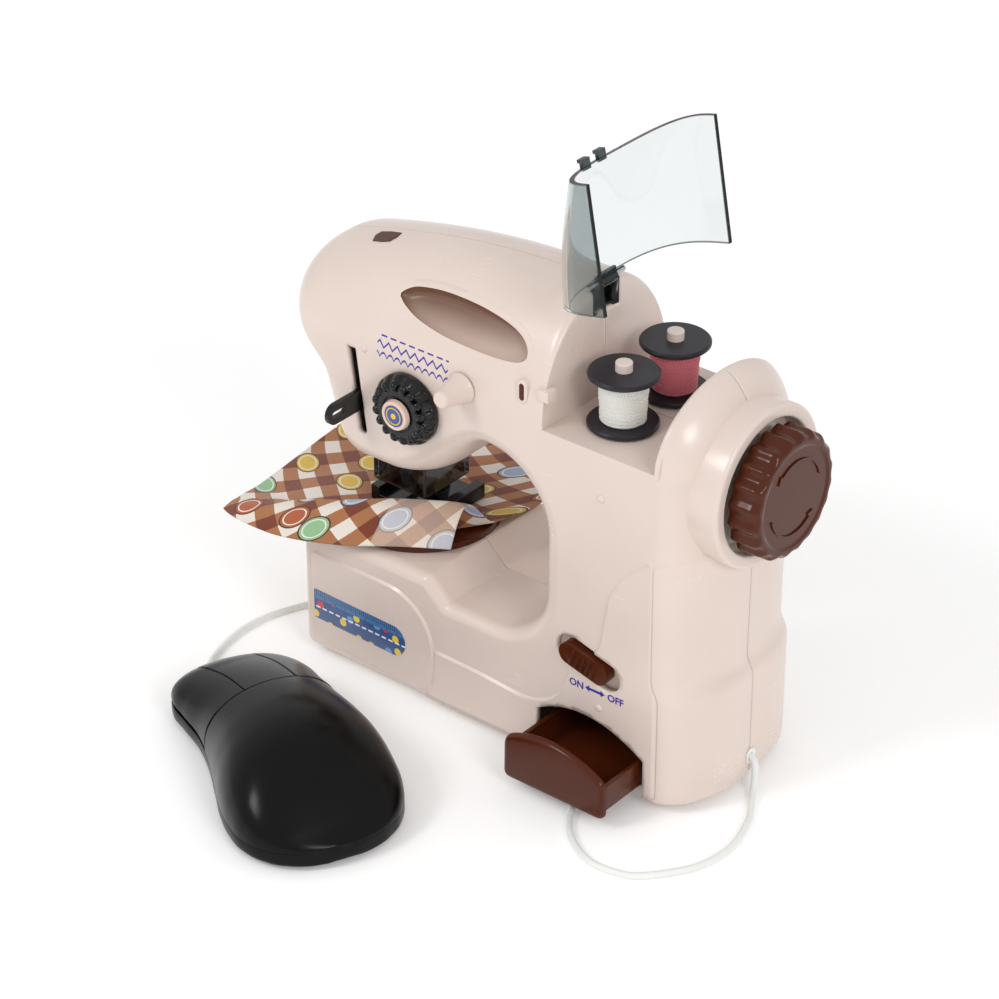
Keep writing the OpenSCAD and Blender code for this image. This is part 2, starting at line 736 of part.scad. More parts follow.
module spool_cover() {
    color(smoke)
        translate([hinge_x, 0, hinge_z])
            rotate([0, -cover_open, 0])
                translate([-hinge_x, 0, -hinge_z])
                    difference() {
                        union() {
                            skin([for (k = [0 : 6])
                                    for (p = cover_ring(cover_x0 + (cover_x1 - cover_x0) * k / 6)) p],
                                2 * cover_n + 2, 7);
                            along_y(hinge_x, -4, hinge_z) cylinder(r = 2.6, h = 8, $fn = 24);
                            block([hinge_x, -4, hinge_z - 2.6], [cover_x0 + 2, 4, hinge_z - 0.4]);
                            for (y = [-21, -12])
                                block([cover_x1 - 1, y, cover_tab(y) - 0.8], [cover_x1 + 3, y + 4,
                                    cover_tab(y) + 0.8]);
                        }
                        along_y(hinge_x, -20, hinge_z) cylinder(r = 1.06, h = 40, $fn = 24);
                        for (y = [-11.6, 6.7])
                            along_y(hinge_x, y, hinge_z) cylinder(r = 2.9, h = 4.9, $fn = 24);
                    }
}

module cover_pin() {
    color(steel)
        along_y(hinge_x, -10, hinge_z) cylinder(r = 1, h = 20);
}

// Drawer
module drawer() {
    y0 = front_y - drawer_out;
    color(brown)
        union() {
            front_panel(drawer_arch(-0.2, foot_h + 0.6), y0 + 2, 2.2);
            difference() {
                block([drawer_x0 + 0.9, y0 + 1.9, foot_h + 3.4], [drawer_x1 - 0.9, y0 + drawer_l,
                    drawer_h - 2]);
                block([drawer_x0 + 2.7, y0 + 3.6, foot_h + 5.2], [drawer_x1 - 2.7, y0 + drawer_l - 1.8,
                    drawer_h + 9]);
            }
        }
}

module drawer_rails() {
    color(beige)
        for (x = [drawer_x0 - 1.2, drawer_x1 - 0.5])
            block([x, -31, foot_h + wall + 0.05], [x + 1.7, 26, foot_h + 9]);
}

// Switch
module switch_knob() {
    color(brown)
        at_switch()
            translate([-0.9, 0, 0])
                union() {
                    for (x = [-knob_x, knob_x])
                        along_y(x, front_y - 2.6, 0) cylinder(r = 4.2, h = 4.4);
                    block([-knob_x, front_y - 2.6, -4.2], [knob_x, front_y + 1.8, 4.2]);
                    for (k = [-2 : 2])
                        block([k * 2.4 - 0.6, front_y - 3.3, -3.2], [k * 2.4 + 0.6, front_y - 2.5, 3.2]);
                    block([-3, front_y + 1.7, -1.3], [3, front_y + 7, 1.3]);
                }
}

module switch_body() {
    color("#2a2a2c")
        at_switch()
            difference() {
                union() {
                    block([-18, front_y + 2.25, -8.5], [18, front_y + 3.8, 8.5]);
                    block([-12, front_y + 3.7, -5], [12, front_y + 10, 5]);
                }
                block([-9, front_y, -1.6], [9, front_y + 8, 1.6]);
            }
}

// Drive
module handwheel() {
    color(brown)
        difference() {
            union() {
                along_x(wheel_x, 0, shaft_z)
                    rotate_extrude($fn = 72)
                        polygon([[0, 0], [wheel_r - 0.6, 0], [wheel_r, 0.6], [wheel_r, wheel_w - 2],
                            [wheel_r - 1.4, wheel_w - 0.5],
                            [wheel_r - 3.4, wheel_w], [wheel_r - 4, wheel_w - 0.6], [0, wheel_w - 0.6]]);
                along_x(wheel_x - 3, 0, shaft_z) cylinder(r = 5, h = 4);
                for (a = [20, 200])
                    along_x(wheel_x + wheel_w - 0.8, 0, shaft_z)
                        rotate([0, 0, a])
                            rotate_extrude(angle = 80, $fn = 60)
                                translate([wheel_r - 8.4, 0]) square([1, 0.7]);
            }
            for (k = [0 : 19])
                along_x(wheel_x - 1, (wheel_r + 1.6) * cos(18 * k), shaft_z + (wheel_r + 1.6) * sin(18 * k))
                    cylinder(r = 2.8, h = wheel_w + 2, $fn = 24);
            along_x(wheel_x - 5, 0, shaft_z) cylinder(r = shaft_r + 0.02, h = 14);
        }
}

module main_shaft() {
    color(steel)
        along_x(-50.5, 0, shaft_z) cylinder(r = shaft_r, h = wheel_x + 58.5);
}

module shaft_bushes() {
    color("#8a8d92") {
        along_x(-30.5, 0, shaft_z) ring(4, shaft_r + fit, 5);
        along_x(79.5, 0, shaft_z) ring(4, shaft_r + fit, end_x - 79.5);
    }
}

module grooved_pulley(r, bore) {
    difference() {
        rotate_extrude($fn = 64)
            polygon([[0, 0], [r + 1, 0], [r + 1, 0.6], [r, 1.1], [r, pulley_w - 1.1], [r + 1, pulley_w - 0.6],
                [r + 1, pulley_w], [0, pulley_w]]);
        if (bore > 0) translate([0, 0, -end]) cylinder(r = bore, h = pulley_w + 2 * end);
    }
}

module main_pulley() {
    color("#c9b9a6")
        along_x(pulley_x, 0, shaft_z) grooved_pulley(pulley_r, shaft_r + 0.02);
}

module crank_disc() {
    color(steel)
        difference() {
            union() {
                along_x(-53, 0, shaft_z) cylinder(r = 11, h = 3);
                along_x(needle_x + 5.7, crank_throw * cos(30),
                    shaft_z - crank_throw / 2) cylinder(r = 1.5, h = 4);
            }
            along_x(-52, 0, shaft_z) cylinder(r = shaft_r + 0.02, h = 5);
        }
}

module motor() {
    color("#9a9da1")
        difference() {
            union() {
                along_x(28, 0, motor_z) cylinder(r = motor_r, h = 28);
                along_x(55.9, 0, motor_z) cylinder(r = 4, h = 1.6);
            }
            along_x(50, 0, motor_z) cylinder(r = 1 + fit, h = 20);
        }
}

module motor_bracket() {
    color("#b8aca2")
        difference() {
            union() {
                block([36, -motor_r - 2.5, motor_z - motor_r - 2.5], [42, motor_r + 2.5,
                    motor_z + motor_r + 2.5]);
                block([36, -half_depth + wall + 0.1, motor_z - 5], [42, half_depth - wall - 0.1,
                    motor_z + 5]);
            }
            along_x(30, 0, motor_z) cylinder(r = motor_r + 0.02, h = 20);
        }
}

module motor_pulley() {
    color("#c9b9a6")
        union() {
            along_x(pulley_x, 0, motor_z) grooved_pulley(pinion_r, 0);
            along_x(51, 0, motor_z) cylinder(r = 1, h = pulley_x + pulley_w - 52);
        }
}

module drive_belt() {
    color(black)
        difference() {
            hull() {
                along_x(pulley_x + 1.3, 0, shaft_z) cylinder(r = pulley_r + 1.3, h = 1.2);
                along_x(pulley_x + 1.3, 0, motor_z) cylinder(r = pinion_r + 1.3, h = 1.2);
            }
            hull() {
                along_x(pulley_x, 0, shaft_z) cylinder(r = pulley_r + 0.35, h = 4);
                along_x(pulley_x, 0, motor_z) cylinder(r = pinion_r + 0.35, h = 4);
            }
        }
}

module label_strip() {
    color("#284b82")
        block([-83, front_y - 1.0, 17], [-40, front_y - 0.72, 29.4]);
}

// Pedal, drawn along u from the cord end and turned into place
pedal_turn = -24;
split_u = 40;
split_v = 10;
rest_z = 2;
tub_z = 7.6;
ku = pedal_l / 114;
function pedal_half(u) = pedal_w / 32 * lookup(u / ku, [[0, 17], [3, 21], [8, 24], [18, 25.5], [32, 25.5],
    [46, 27],
    [60, 29.5], [72, 31.5], [84, 32], [94, 30.8], [102, 27], [108, 21], [112, 13], [114, 5]]);
function pedal_mid(u) = pedal_w / 32 * lookup(u / ku, [[0, 2], [18, 5], [40, 5], [60, 3.5], [84, 1], [114,
    0]]);
function pedal_top(u) = pedal_h / 35 * lookup(u / ku, [[0, 16], [4, 18.5], [12, 21.5], [24, 25.5], [36,
    29], [48, 32],
    [60, 34.3], [70, 35], [80, 33.8], [90, 29.5], [98, 24], [106, 16.5], [111, 11.5], [114, 9]]);

module at_pedal() {
    translate([-93, -79.4, 0]) rotate([0, 0, pedal_turn]) children();
}

function pedal_outline(d) =
    let (us = [for (k = [0 : 19]) d + (pedal_l - 2 * d) * (k < 16 ? k / 16 * 0.9 : 0.9 + (k - 16) / 3 * 0.1)])
    concat(
        [for (u = us) [u, pedal_mid(u) - max(pedal_half(u) - d, 1)]],
        [for (k = [19 : -1 : 0]) [us[k], pedal_mid(us[k]) + max(pedal_half(us[k]) - d, 1)]]
    );

// Arched patch of the pedal's top between two turns of the arch at each u.
function arch_point(u, a, d, low) =
    [u, pedal_mid(u) + (pedal_half(u) - d) * cos(a), low + (pedal_top(u) - d - low) * pow(sin(a), 0.8)];
function patch_ring(u, a0, a1, low, n) = concat(
    [for (k = [0 : n]) arch_point(u, a0 + (a1 - a0) * k / n, pedal_wall, low)],
    [for (k = [n : -1 : 0]) arch_point(u, a0 + (a1 - a0) * k / n, 0, low)]
);
function split_turn(u, v) = acos(max(-1, min(1, v / pedal_half(u))));

module patch(u0, u1, stations, low, n, v0, v1) {
    skin(
        [for (k = [0 : stations])
            let (u = u0 + (u1 - u0) * k / stations)
            for (p = patch_ring(u, split_turn(u, v0), split_turn(u, v1), low, n)) p],
        2 * n + 2, stations + 1
    );
}

module pedal_base() {
    color(black)
        at_pedal()
            difference() {
                translate([0, 0, rest_z]) linear_extrude(tub_z - rest_z) polygon(pedal_outline(0));
                translate([0, 0, rest_z + 2]) linear_extrude(tub_z) polygon(pedal_outline(pedal_wall));
                along_x(-5, 0, 5.4) cylinder(r = cord_d / 2 + 0.15, h = 10, $fn = 24);
            }
}

module pedal_cover() {
    color(black)
        at_pedal() patch(split_u * ku + 0.3, pedal_l, 14, tub_z + 0.05, 16, 90, -90);
}

module pedal_button(v0, v1, n) {
    color(black)
        at_pedal() patch(0.2, split_u * ku, 8, tub_z + 1.4, n, v0, v1);
}

module pedal_left() {
    pedal_button(90, split_v + 0.2, 8);
}

module pedal_middle() {
    pedal_button(split_v - 0.2, -split_v + 0.2, 8);
}

module pedal_right() {
    pedal_button(-split_v - 0.2, -90, 8);
}

module pedal_switch() {
    color("#2f5a3a")
        at_pedal() {
            block([12, -15, rest_z + 2.05], [34, 15, rest_z + 3.6]);
            for (v = [-12, 0, 12])
                translate([18, v, rest_z + 3.5]) cylinder(r = 2.4, h = 2.6);
        }
}

module pedal_feet() {
    color("#303033")
        at_pedal()
            for (p = [[12, -12], [12, 18], [86, -20], [86, 20]])
                translate([p[0] * ku, p[1], 0]) cylinder(r = 4, h = rest_z - 0.02);
}

// Cord from the right end of the base, round and under it, to the pedal
cord_r = cord_d / 2;
lie = cord_r + 0.05;
route = [
    [84, 0, cord_z], [90, 0, cord_z], [92.2, -0.6, 10], [93.8, -2.6, 5.5], [95.6, -6, 2.2], [99, -11.5, lie],
    [102.8, -18, lie], [106, -27, lie], [107.9, -36.5, lie], [107, -47, lie], [103.4, -56, lie], [95, -67,
        lie],
    [88, -71.6, lie], [76, -73, lie], [65, -68.3, lie], [56.5, -60.5, lie], [51, -51, lie], [45, -38, lie],
    [28, -19, lie], [0, -13, lie], [-30, -7, lie], [-60, -2, lie], [-85, -1, lie], [-100, -5, lie], [-108,
        -14, lie],
    [-113.5, -29, lie], [-114.6, -44, lie], [-111, -61, lie], [-105, -71, lie + 1.2], [-99, -76.6, 4.6],
    [-93, -79.4, 5.4], [-90, -80.74, 5.4]
];
function spline(a, b, c, d, t) =
    0.5 * (2 * b + (c - a) * t + (2 * a - 5 * b + 4 * c - d) * t * t + (3 * b - 3 * c + d - a) * t * t * t);
last = len(route) - 1;
steps = [for (k = [0 : last - 1])
    norm(route[k + 1] - route[k]) > 13 ? 3 : norm(route[k + 1] - route[k]) > 7 ? 2 : 1];
cord_line = concat(
    [for (k = [0 : last - 1]) for (s = [0 : steps[k] - 1])
        spline(route[max(k - 1, 0)], route[k], route[k + 1], route[min(k + 2, last)], s / steps[k])],
    [route[last]]
);
function sum_length(line, k = 1) = k >= len(line) ? 0 : norm(line[k] - line[k - 1]) + sum_length(line, k + 1);
echo(cord_length = sum_length(cord_line), cord_rings = len(cord_line));
function cord_ring(k) =
    let (m = len(cord_line) - 1,
         t = unit(cord_line[min(k + 1, m)] - cord_line[max(k - 1, 0)]),
         side = unit(cross(t, [0, 0, 1])),
         up = cross(side, t))
    [for (j = [0 : 7]) cord_line[k] + cord_r * (side * cos(45 * j) + up * sin(45 * j))];

module pedal_cord() {
    color("#e8eae8")
        skin([for (k = [0 : len(cord_line) - 1]) for (p = cord_ring(k)) p], 8, len(cord_line));
}

module cord_grommet() {
    color("#e8eae8")
        along_x(base_x1 - 4, 0, cord_z) ring(3, cord_r + 0.1, 4.4);
}

// Cloth: its front edge, the crest of the fold before the foot, the hollow under the foot and the back edge
cloth_t = 0.8;
cloth_z = table_z + 2.6;
front_edge = [[-114, -50, cloth_z + 0.4], [-95, -60, cloth_z - 1], [-58, -38, cloth_z - 1.2], [-33, -17,
    cloth_z - 1.2]];
crest = [[-113, -44, cloth_z + 2], [-88, -42, cloth_z + 2.5], [-54, -20, cloth_z + 12], [-35, -6,
    cloth_z + 9]];
hollow = [[-115, -28, cloth_z + 1.2], [-88, -30, cloth_z + 0.4], [-52, -28, cloth_z], [-31, 6,
    cloth_z - 0.6]];
back_edge = [[-120, 24, cloth_z + 3], [-102, 58, cloth_z + 1], [-54, 56, cloth_z], [-27, 32, cloth_z - 1]];
function bend(c, t) =
    let (m = 1 - t)
    m * m * m * c[0] + 3 * m * m * t * c[1] + 3 * m * t * t * c[2] + t * t * t * c[3];
function ease(t) = (1 - cos(180 * t)) / 2;
function mix(a, b, t) = a + (b - a) * t;
function cloth_at(s, t) =
    let (f = bend(front_edge, s), c = bend(crest, s), h = bend(hollow, s), b = bend(back_edge, s))
    t < 0.28 ? mix([f[0], f[1], 0], [c[0], c[1], 0], t / 0.28) + [0, 0, mix(f[2], c[2], sin(90 * t / 0.28))]
    : t < 0.44 ? mix([c[0], c[1], 0], [h[0], h[1], 0], (t - 0.28) / 0.16) + [0, 0, mix(c[2], h[2],
        ease((t - 0.28) / 0.16))]
    : mix([h[0], h[1], 0], [b[0], b[1], 0], (t - 0.44) / 0.56) + [0, 0, mix(h[2], b[2],
        pow((t - 0.44) / 0.56, 2))];
cloth_n = 26;
cloth_m = 18;
function cloth_ring(s) = concat(
    [for (k = [0 : cloth_m]) cloth_at(s, k / cloth_m) + [0, 0, cloth_t]],
    [for (k = [cloth_m : -1 : 0]) cloth_at(s, k / cloth_m)]
);

cloth_k = 2 * cloth_m + 2;
function cloth_end(from, way) = [
    for (k = [0 : cloth_m - 1])
        for (t = [[k, k + 1, cloth_k - 2 - k], [k, cloth_k - 2 - k, cloth_k - 1 - k]])
            way > 0 ? [for (v = t) from + v] : [for (v = [2 : -1 : 0]) from + t[v]]
];

module sewing_cloth() {
    color("#9a5a3a")
        polyhedron(
            [for (k = [0 : cloth_n]) for (p = cloth_ring(k / cloth_n)) p],
            concat(
                cloth_end(0, -1),
                [for (r = [0 : cloth_n - 1]) for (k = [0 : cloth_k - 1])
                    [r * cloth_k + k, r * cloth_k + (k + 1) % cloth_k,
                        (r + 1) * cloth_k + (k + 1) % cloth_k]],
                [for (r = [0 : cloth_n - 1]) for (k = [0 : cloth_k - 1])
                    [r * cloth_k + k, (r + 1) * cloth_k + (k + 1) % cloth_k, (r + 1) * cloth_k + k]],
                cloth_end(cloth_n * cloth_k, 1)
            ),
            10
        );
}

front_shell();
rear_shell();
rubber_feet();
housing_screws();
battery_tray();
battery_cells();
battery_contacts();
battery_door();
needle_plate();
needle_guard();
presser_foot();
presser_bar();
bar_guides();
needle_bar();
needle();
take_up_lever();
lever_rod();
tension_dial();
dial_cap();
dial_spindle();
thread_post();
spool_pegs();
front_spool();
rear_spool();
front_thread();
rear_thread();
front_winding();
rear_winding();
spool_cover();
cover_pin();
drawer();
drawer_rails();
switch_knob();
switch_body();
handwheel();
main_shaft();
shaft_bushes();
main_pulley();
crank_disc();
motor();
motor_bracket();
motor_pulley();
drive_belt();
label_strip();
pedal_base();
pedal_cover();
pedal_left();
pedal_middle();
pedal_right();
pedal_switch();
pedal_feet();
cord_grommet();
pedal_cord();
sewing_cloth();
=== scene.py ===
"""Toy sewing machine with its foot pedal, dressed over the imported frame.

Lengths in the classes are millimetres in the frame of the part; a mesh gets them in metres.
"""
import json
import logging
import math
from dataclasses import dataclass, field
from enum import Enum
from typing import Callable, Optional, Sequence, Union

import bmesh
import bpy
import numpy as np
from mathutils import Matrix, Vector
from mathutils.geometry import delaunay_2d_cdt


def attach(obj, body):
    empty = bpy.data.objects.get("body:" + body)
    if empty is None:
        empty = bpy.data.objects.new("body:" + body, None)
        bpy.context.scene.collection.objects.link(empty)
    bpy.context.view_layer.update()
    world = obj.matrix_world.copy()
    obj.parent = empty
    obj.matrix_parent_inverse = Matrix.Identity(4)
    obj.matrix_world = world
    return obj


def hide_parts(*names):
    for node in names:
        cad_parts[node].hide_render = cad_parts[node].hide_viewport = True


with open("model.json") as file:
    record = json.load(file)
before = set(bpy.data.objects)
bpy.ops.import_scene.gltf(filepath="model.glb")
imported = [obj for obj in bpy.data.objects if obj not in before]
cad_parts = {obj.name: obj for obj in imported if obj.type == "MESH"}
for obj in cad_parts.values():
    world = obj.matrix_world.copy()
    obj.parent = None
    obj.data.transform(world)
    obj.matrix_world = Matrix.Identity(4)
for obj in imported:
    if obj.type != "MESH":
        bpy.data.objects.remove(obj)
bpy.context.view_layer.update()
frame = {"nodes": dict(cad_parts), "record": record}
MM = 0.001
LOG = logging.getLogger("sewing_machine")

Part = tuple[np.ndarray, Union[np.ndarray, list]]


class Body(Enum):
    """Bodies of the frame that pieces ride on."""

    HOUSING = "housing"
    DRIVE = "drive"
    DIAL = "dial"
    FRONT_REEL = "front_reel"
    REAR_REEL = "rear_reel"
    COVER = "cover"
    TRAY = "tray"
    SWITCH = "switch"
    LEVER = "lever"
    PRESSER = "presser"
    KEY_LEFT = "key_left"
    KEY_MIDDLE = "key_middle"
    KEY_RIGHT = "key_right"


def linear(rgb: Sequence[float]) -> tuple[float, float, float, float]:
    """Turn a colour written as 0 to 255 display values into linear light.

    Args:
        rgb: Red, green and blue, 0 to 255.

    Returns:
        Red, green, blue and alpha in linear light.
    """
    c = np.asarray(rgb, float) / 255
    low, high = c / 12.92, ((c + 0.055) / 1.055) ** 2.4
    return (*np.where(c <= 0.04045, low, high).tolist(), 1.0)


def toned(rgb: Sequence[float], factor: Union[float, Sequence[float]]) -> tuple[float, ...]:
    """Linear colour, made deeper or lighter by a factor.

    Args:
        rgb: Red, green and blue, 0 to 255.
        factor: Factor on the colour, or one each for red, green and blue.

    Returns:
        Red, green, blue and alpha in linear light.
    """
    rgba = np.array(linear(rgb))
    rgba[:3] = np.minimum(rgba[:3] * factor, 1)
    return tuple(rgba.tolist())


def sign(name: str, swap: bool = False) -> Callable[["Sock", "Term"], "Sock"]:
    """Make the method behind one arithmetic sign.

    Args:
        name: The Math node's operation.
        swap: Whether the other value comes first.

    Returns:
        The method.
    """
    def method(self: "Sock", other: "Term") -> "Sock":
        """Add the node."""
        return self.op(name, other, swap)
    return method


class Sock:
    """A shader socket that takes part in Python arithmetic."""

    def __init__(self, shader: "Shader", socket: bpy.types.NodeSocket) -> None:
        """Keep the socket and the tree that it belongs to."""
        self.shader = shader
        self.socket = socket

    def op(self, name: str, other: Optional["Term"] = None, swap: bool = False) -> "Sock":
        """Add one Math node."""
        terms = [self] if other is None else ([other, self] if swap else [self, other])
        return self.shader.node("ShaderNodeMath", {"operation": name}, dict(enumerate(terms)))

    __add__ = __radd__ = sign("ADD")
    __sub__, __rsub__ = sign("SUBTRACT"), sign("SUBTRACT", True)
    __mul__ = __rmul__ = sign("MULTIPLY")
    __truediv__ = sign("DIVIDE")
    __lt__, __gt__ = sign("LESS_THAN"), sign("GREATER_THAN")

    def __abs__(self) -> "Sock":
        """Size without sign."""
        return self.op("ABSOLUTE")


Term = Union[Sock, float, int]


class Shader:
    """One material: a node tree round a Principled surface."""

    def __init__(self, name: str, **constants: float) -> None:
        """Make the material.

        Args:
            name: The finish's name.
            constants: Principled values that are the same all over, with _ for spaces.
        """
        self.material = bpy.data.materials.new(name)
        self.material.use_nodes = True
        self.tree = self.material.node_tree
        self.surface = next(n for n in self.tree.nodes if n.type == "BSDF_PRINCIPLED")
        self.feed(**constants)

    def put(self, target: bpy.types.NodeSocket, value: object) -> None:
        """Link a socket to an input, or set the input's value.

        Args:
            target: The input.
            value: A socket or a plain value.
        """
        if isinstance(value, Sock):
            self.tree.links.new(value.socket, target)
        else:
            target.default_value = value

    def node(self, kind: str, settings: Optional[dict] = None, inputs: Optional[dict] = None,
             out: Union[int, str] = 0) -> Sock:
        """Add any node.

        Args:
            kind: The node's type name.
            settings: Attributes that are set first; "stops" fills a colour ramp.
            inputs: Values or sockets by input name or number.
            out: The output that is wanted.

        Returns:
            That output.
        """
        made = self.tree.nodes.new(kind)
        for key, value in (settings or {}).items():
            if key == "stops":
                ramp = made.color_ramp
                for k, (place, colour) in enumerate(value):
                    stop = ramp.elements[k] if k < 2 else ramp.elements.new(place)
                    stop.position, stop.color = place, colour
            else:
                setattr(made, key, value)
        for key, value in (inputs or {}).items():
            self.put(made.inputs[key], value)
        return Sock(self, made.outputs[out])

    def place(self, kind: str = "Object", scale: float = 1000.0) -> Sock:
        """Coordinates of the surface, in millimetres for Object and in map units for UV."""
        point = self.node("ShaderNodeTexCoord", out=kind)
        return self.node("ShaderNodeVectorMath", {"operation": "SCALE"}, {0: point, "Scale": scale})

    def split(self, vector: Sock) -> tuple[Sock, Sock, Sock]:
        """The three parts of a vector."""
        outs = self.node("ShaderNodeSeparateXYZ", None, {0: vector}).socket.node.outputs
        return tuple(Sock(self, o) for o in outs[:3])

    def noise(self, vector: Sock, scale: float, detail: float = 2.0, rough: float = 0.5) -> Sock:
        """Noise from zero to one, with scale in waves per unit of the vector."""
        return self.node("ShaderNodeTexNoise", None,
                         {"Vector": vector, "Scale": scale, "Detail": detail, "Roughness": rough})

    def streaks(self, vector: Sock, stretch: Sequence[float], scale: float, detail: float) -> Sock:
        """Noise that is drawn out along the axes."""
        drawn = self.node("ShaderNodeVectorMath", {"operation": "MULTIPLY"}, {0: vector, 1: stretch})
        return self.noise(drawn, scale, detail)

    def discs(self, vector: Sock, spacing: float, scatter: float,
              stops: Sequence[tuple[float, Sequence[float]]]) -> tuple[Sock, Sock]:
        """Scattered spots in plane cells, each with a plain colour of its own.

        Args:
            vector: The coordinates.
            spacing: Width of a cell.
            scatter: How far the spots leave an even grid, from 0 to 1.
            stops: Where each display colour starts, from 0 to 1.

        Returns:
            Distance from the spot's middle in cells, and the spot's colour.
        """
        cells = self.node("ShaderNodeTexVoronoi", {"voronoi_dimensions": "2D"},
                          {"Vector": vector, "Scale": 1 / spacing, "Randomness": scatter}, out="Distance")
        pick, _, _ = self.split(Sock(self, cells.socket.node.outputs["Color"]))
        paint = self.node("ShaderNodeValToRGB", {"stops": [(k, linear(c)) for k, c in stops]}, {0: pick})
        paint.socket.node.color_ramp.interpolation = "CONSTANT"
        return cells, paint

    def mix(self, share: Term, first: object, second: object) -> Sock:
        """Colour between first and second, by share."""
        return self.node("ShaderNodeMix", {"data_type": "RGBA"}, {0: share, 6: first, 7: second}, out=2)

    def bump(self, height: Sock, distance: float, strength: float = 1.0) -> Sock:
        """Normal from a height field; distance is in millimetres."""
        return self.node("ShaderNodeBump", None,
                         {"Height": height, "Distance": distance * MM, "Strength": strength})

    def feed(self, **links: object) -> "Shader":
        """Link or set surface inputs, with _ for spaces in their names.

        Args:
            links: Sockets or values by input name.

        Returns:
            This shader.
        """
        for key, value in links.items():
            self.put(self.surface.inputs[key.replace("_", " ")], value)
        return self


@dataclass(frozen=True)
class MouldedPlastic:
    """Opaque moulded plastic: slight mottling, fine skin texture and faint handling marks.

    Attributes:
        name: The finish's name.
        colour: Display colour, 0 to 255.
        rough: Roughness of the clean skin.
        coat: Share of clear gloss on top.
        grain: Depth of the skin texture in millimetres.
        specular: Level of the plain reflection.
    """

    name: str
    colour: tuple[int, int, int]
    rough: float = 0.35
    coat: float = 0.0
    grain: float = 0.02
    specular: float = 0.5

    def shader(self) -> Shader:
        """Build the node tree, ready for further marks.

        Returns:
            The shader.
        """
        s = Shader(self.name, Specular_IOR_Level=self.specular, Coat_Weight=self.coat, Coat_Roughness=0.12)
        p = s.place()
        cloud = s.noise(p, 0.035, 3)
        fine = s.noise(p, 2.4, 2)
        marks = s.streaks(p, (0.06, 1.2, 0.9), 0.8, 4)
        return s.feed(Base_Color=s.mix(cloud, toned(self.colour, 0.95), toned(self.colour, 1.05)),
                      Roughness=self.rough + (cloud - 0.5) * 0.08 + (marks - 0.5) * 0.02,
                      Normal=s.bump(fine, self.grain))

    def build(self) -> bpy.types.Material:
        """The finished material."""
        return self.shader().material


@dataclass(frozen=True)
class PaintedGripShade(MouldedPlastic):
    """Plastic of the sunk grip, with painted shade: deep under its upper edge, where the recess lies in
    shadow, and paler towards its lower edge.

    Attributes:
        pale: Display colour at the lower edge, where the painted shade is lightest.
        heights: Height of the lightest and of the deepest painted shade in millimetres.
        lean: How much the painted shade also changes along the grip.
    """

    pale: tuple[int, int, int] = (206, 184, 170)
    heights: tuple[float, float] = (150.5, 163.5)
    lean: float = 0.07

    def build(self) -> bpy.types.Material:
        """Lay the painted shade over the plain plastic.

        Returns:
            The material.
        """
        s = self.shader()
        p = s.place()
        x, _, z = s.split(p)
        low, high = self.heights
        # Painted shade of the recess: deepest at the upper edge, lighter downwards, with a little noise
        share = (z - x * self.lean - low) / (high - low) + (s.noise(p, 0.05) - 0.5) * 0.12
        return s.feed(Base_Color=s.mix(share, linear(self.pale), linear(self.colour))).material


@dataclass(frozen=True)
class HousingPlastic(MouldedPlastic):
    """Housing plastic with a printed stitch chart: a dashed, a zigzag and a scalloped row.

    Attributes:
        print_colour: Display colour of the print.
        chart: Left and right end of the rows and the height of the lowest.
    """

    print_colour: tuple[int, int, int] = (52, 44, 150)
    chart: tuple[float, float, float] = (-51.0, -19.0, 139.2)

    def build(self) -> bpy.types.Material:
        """Add the printed rows to the plain plastic; their heights, widths and steps are in millimetres.

        Returns:
            The material.
        """
        s = self.shader()
        x, y, z = s.split(s.place())
        left, right, low = self.chart
        inside = (x > left) * (x < right) * (y < -25.0)
        dash = (abs(z - (low + 7.2)) < 0.32) * (x.op("PINGPONG", 2.1) > 0.75)
        zigzag = abs(z - (low + 2.9) - x.op("PINGPONG", 2.0) * 1.2) < 0.48
        arc = x.op("PINGPONG", 1.6)
        scallop = abs(z - low - (2.2 - arc * arc * 0.7) + 1.2) < 0.42
        ink = inside * (dash + zigzag + scallop).op("MINIMUM", 1.0)
        plain = s.surface.inputs["Base Color"].links[0].from_socket
        s.feed(Base_Color=s.mix(ink, Sock(s, plain), linear(self.print_colour)))
        return s.material


@dataclass(frozen=True)
class SmokedPlastic:
    """Clear plastic with a grey tint.

    Attributes:
        name: The finish's name.
        tint: Display colour of the light that comes through.
        rough: Roughness of the skin.
        through: Share of light that goes through.
    """

    name: str
    tint: tuple[int, int, int]
    rough: float = 0.05
    through: float = 1.0

    def build(self) -> bpy.types.Material:
        """The finished material, with faint wavy moulding marks.

        Returns:
            The material.
        """
        s = Shader(self.name, Transmission_Weight=self.through, IOR=1.45, Base_Color=linear(self.tint))
        p = s.place()
        wave = s.noise(p, 0.05, 2)
        s.feed(Roughness=self.rough + wave * 0.04, Normal=s.bump(wave, 0.5, 0.4))
        return s.material


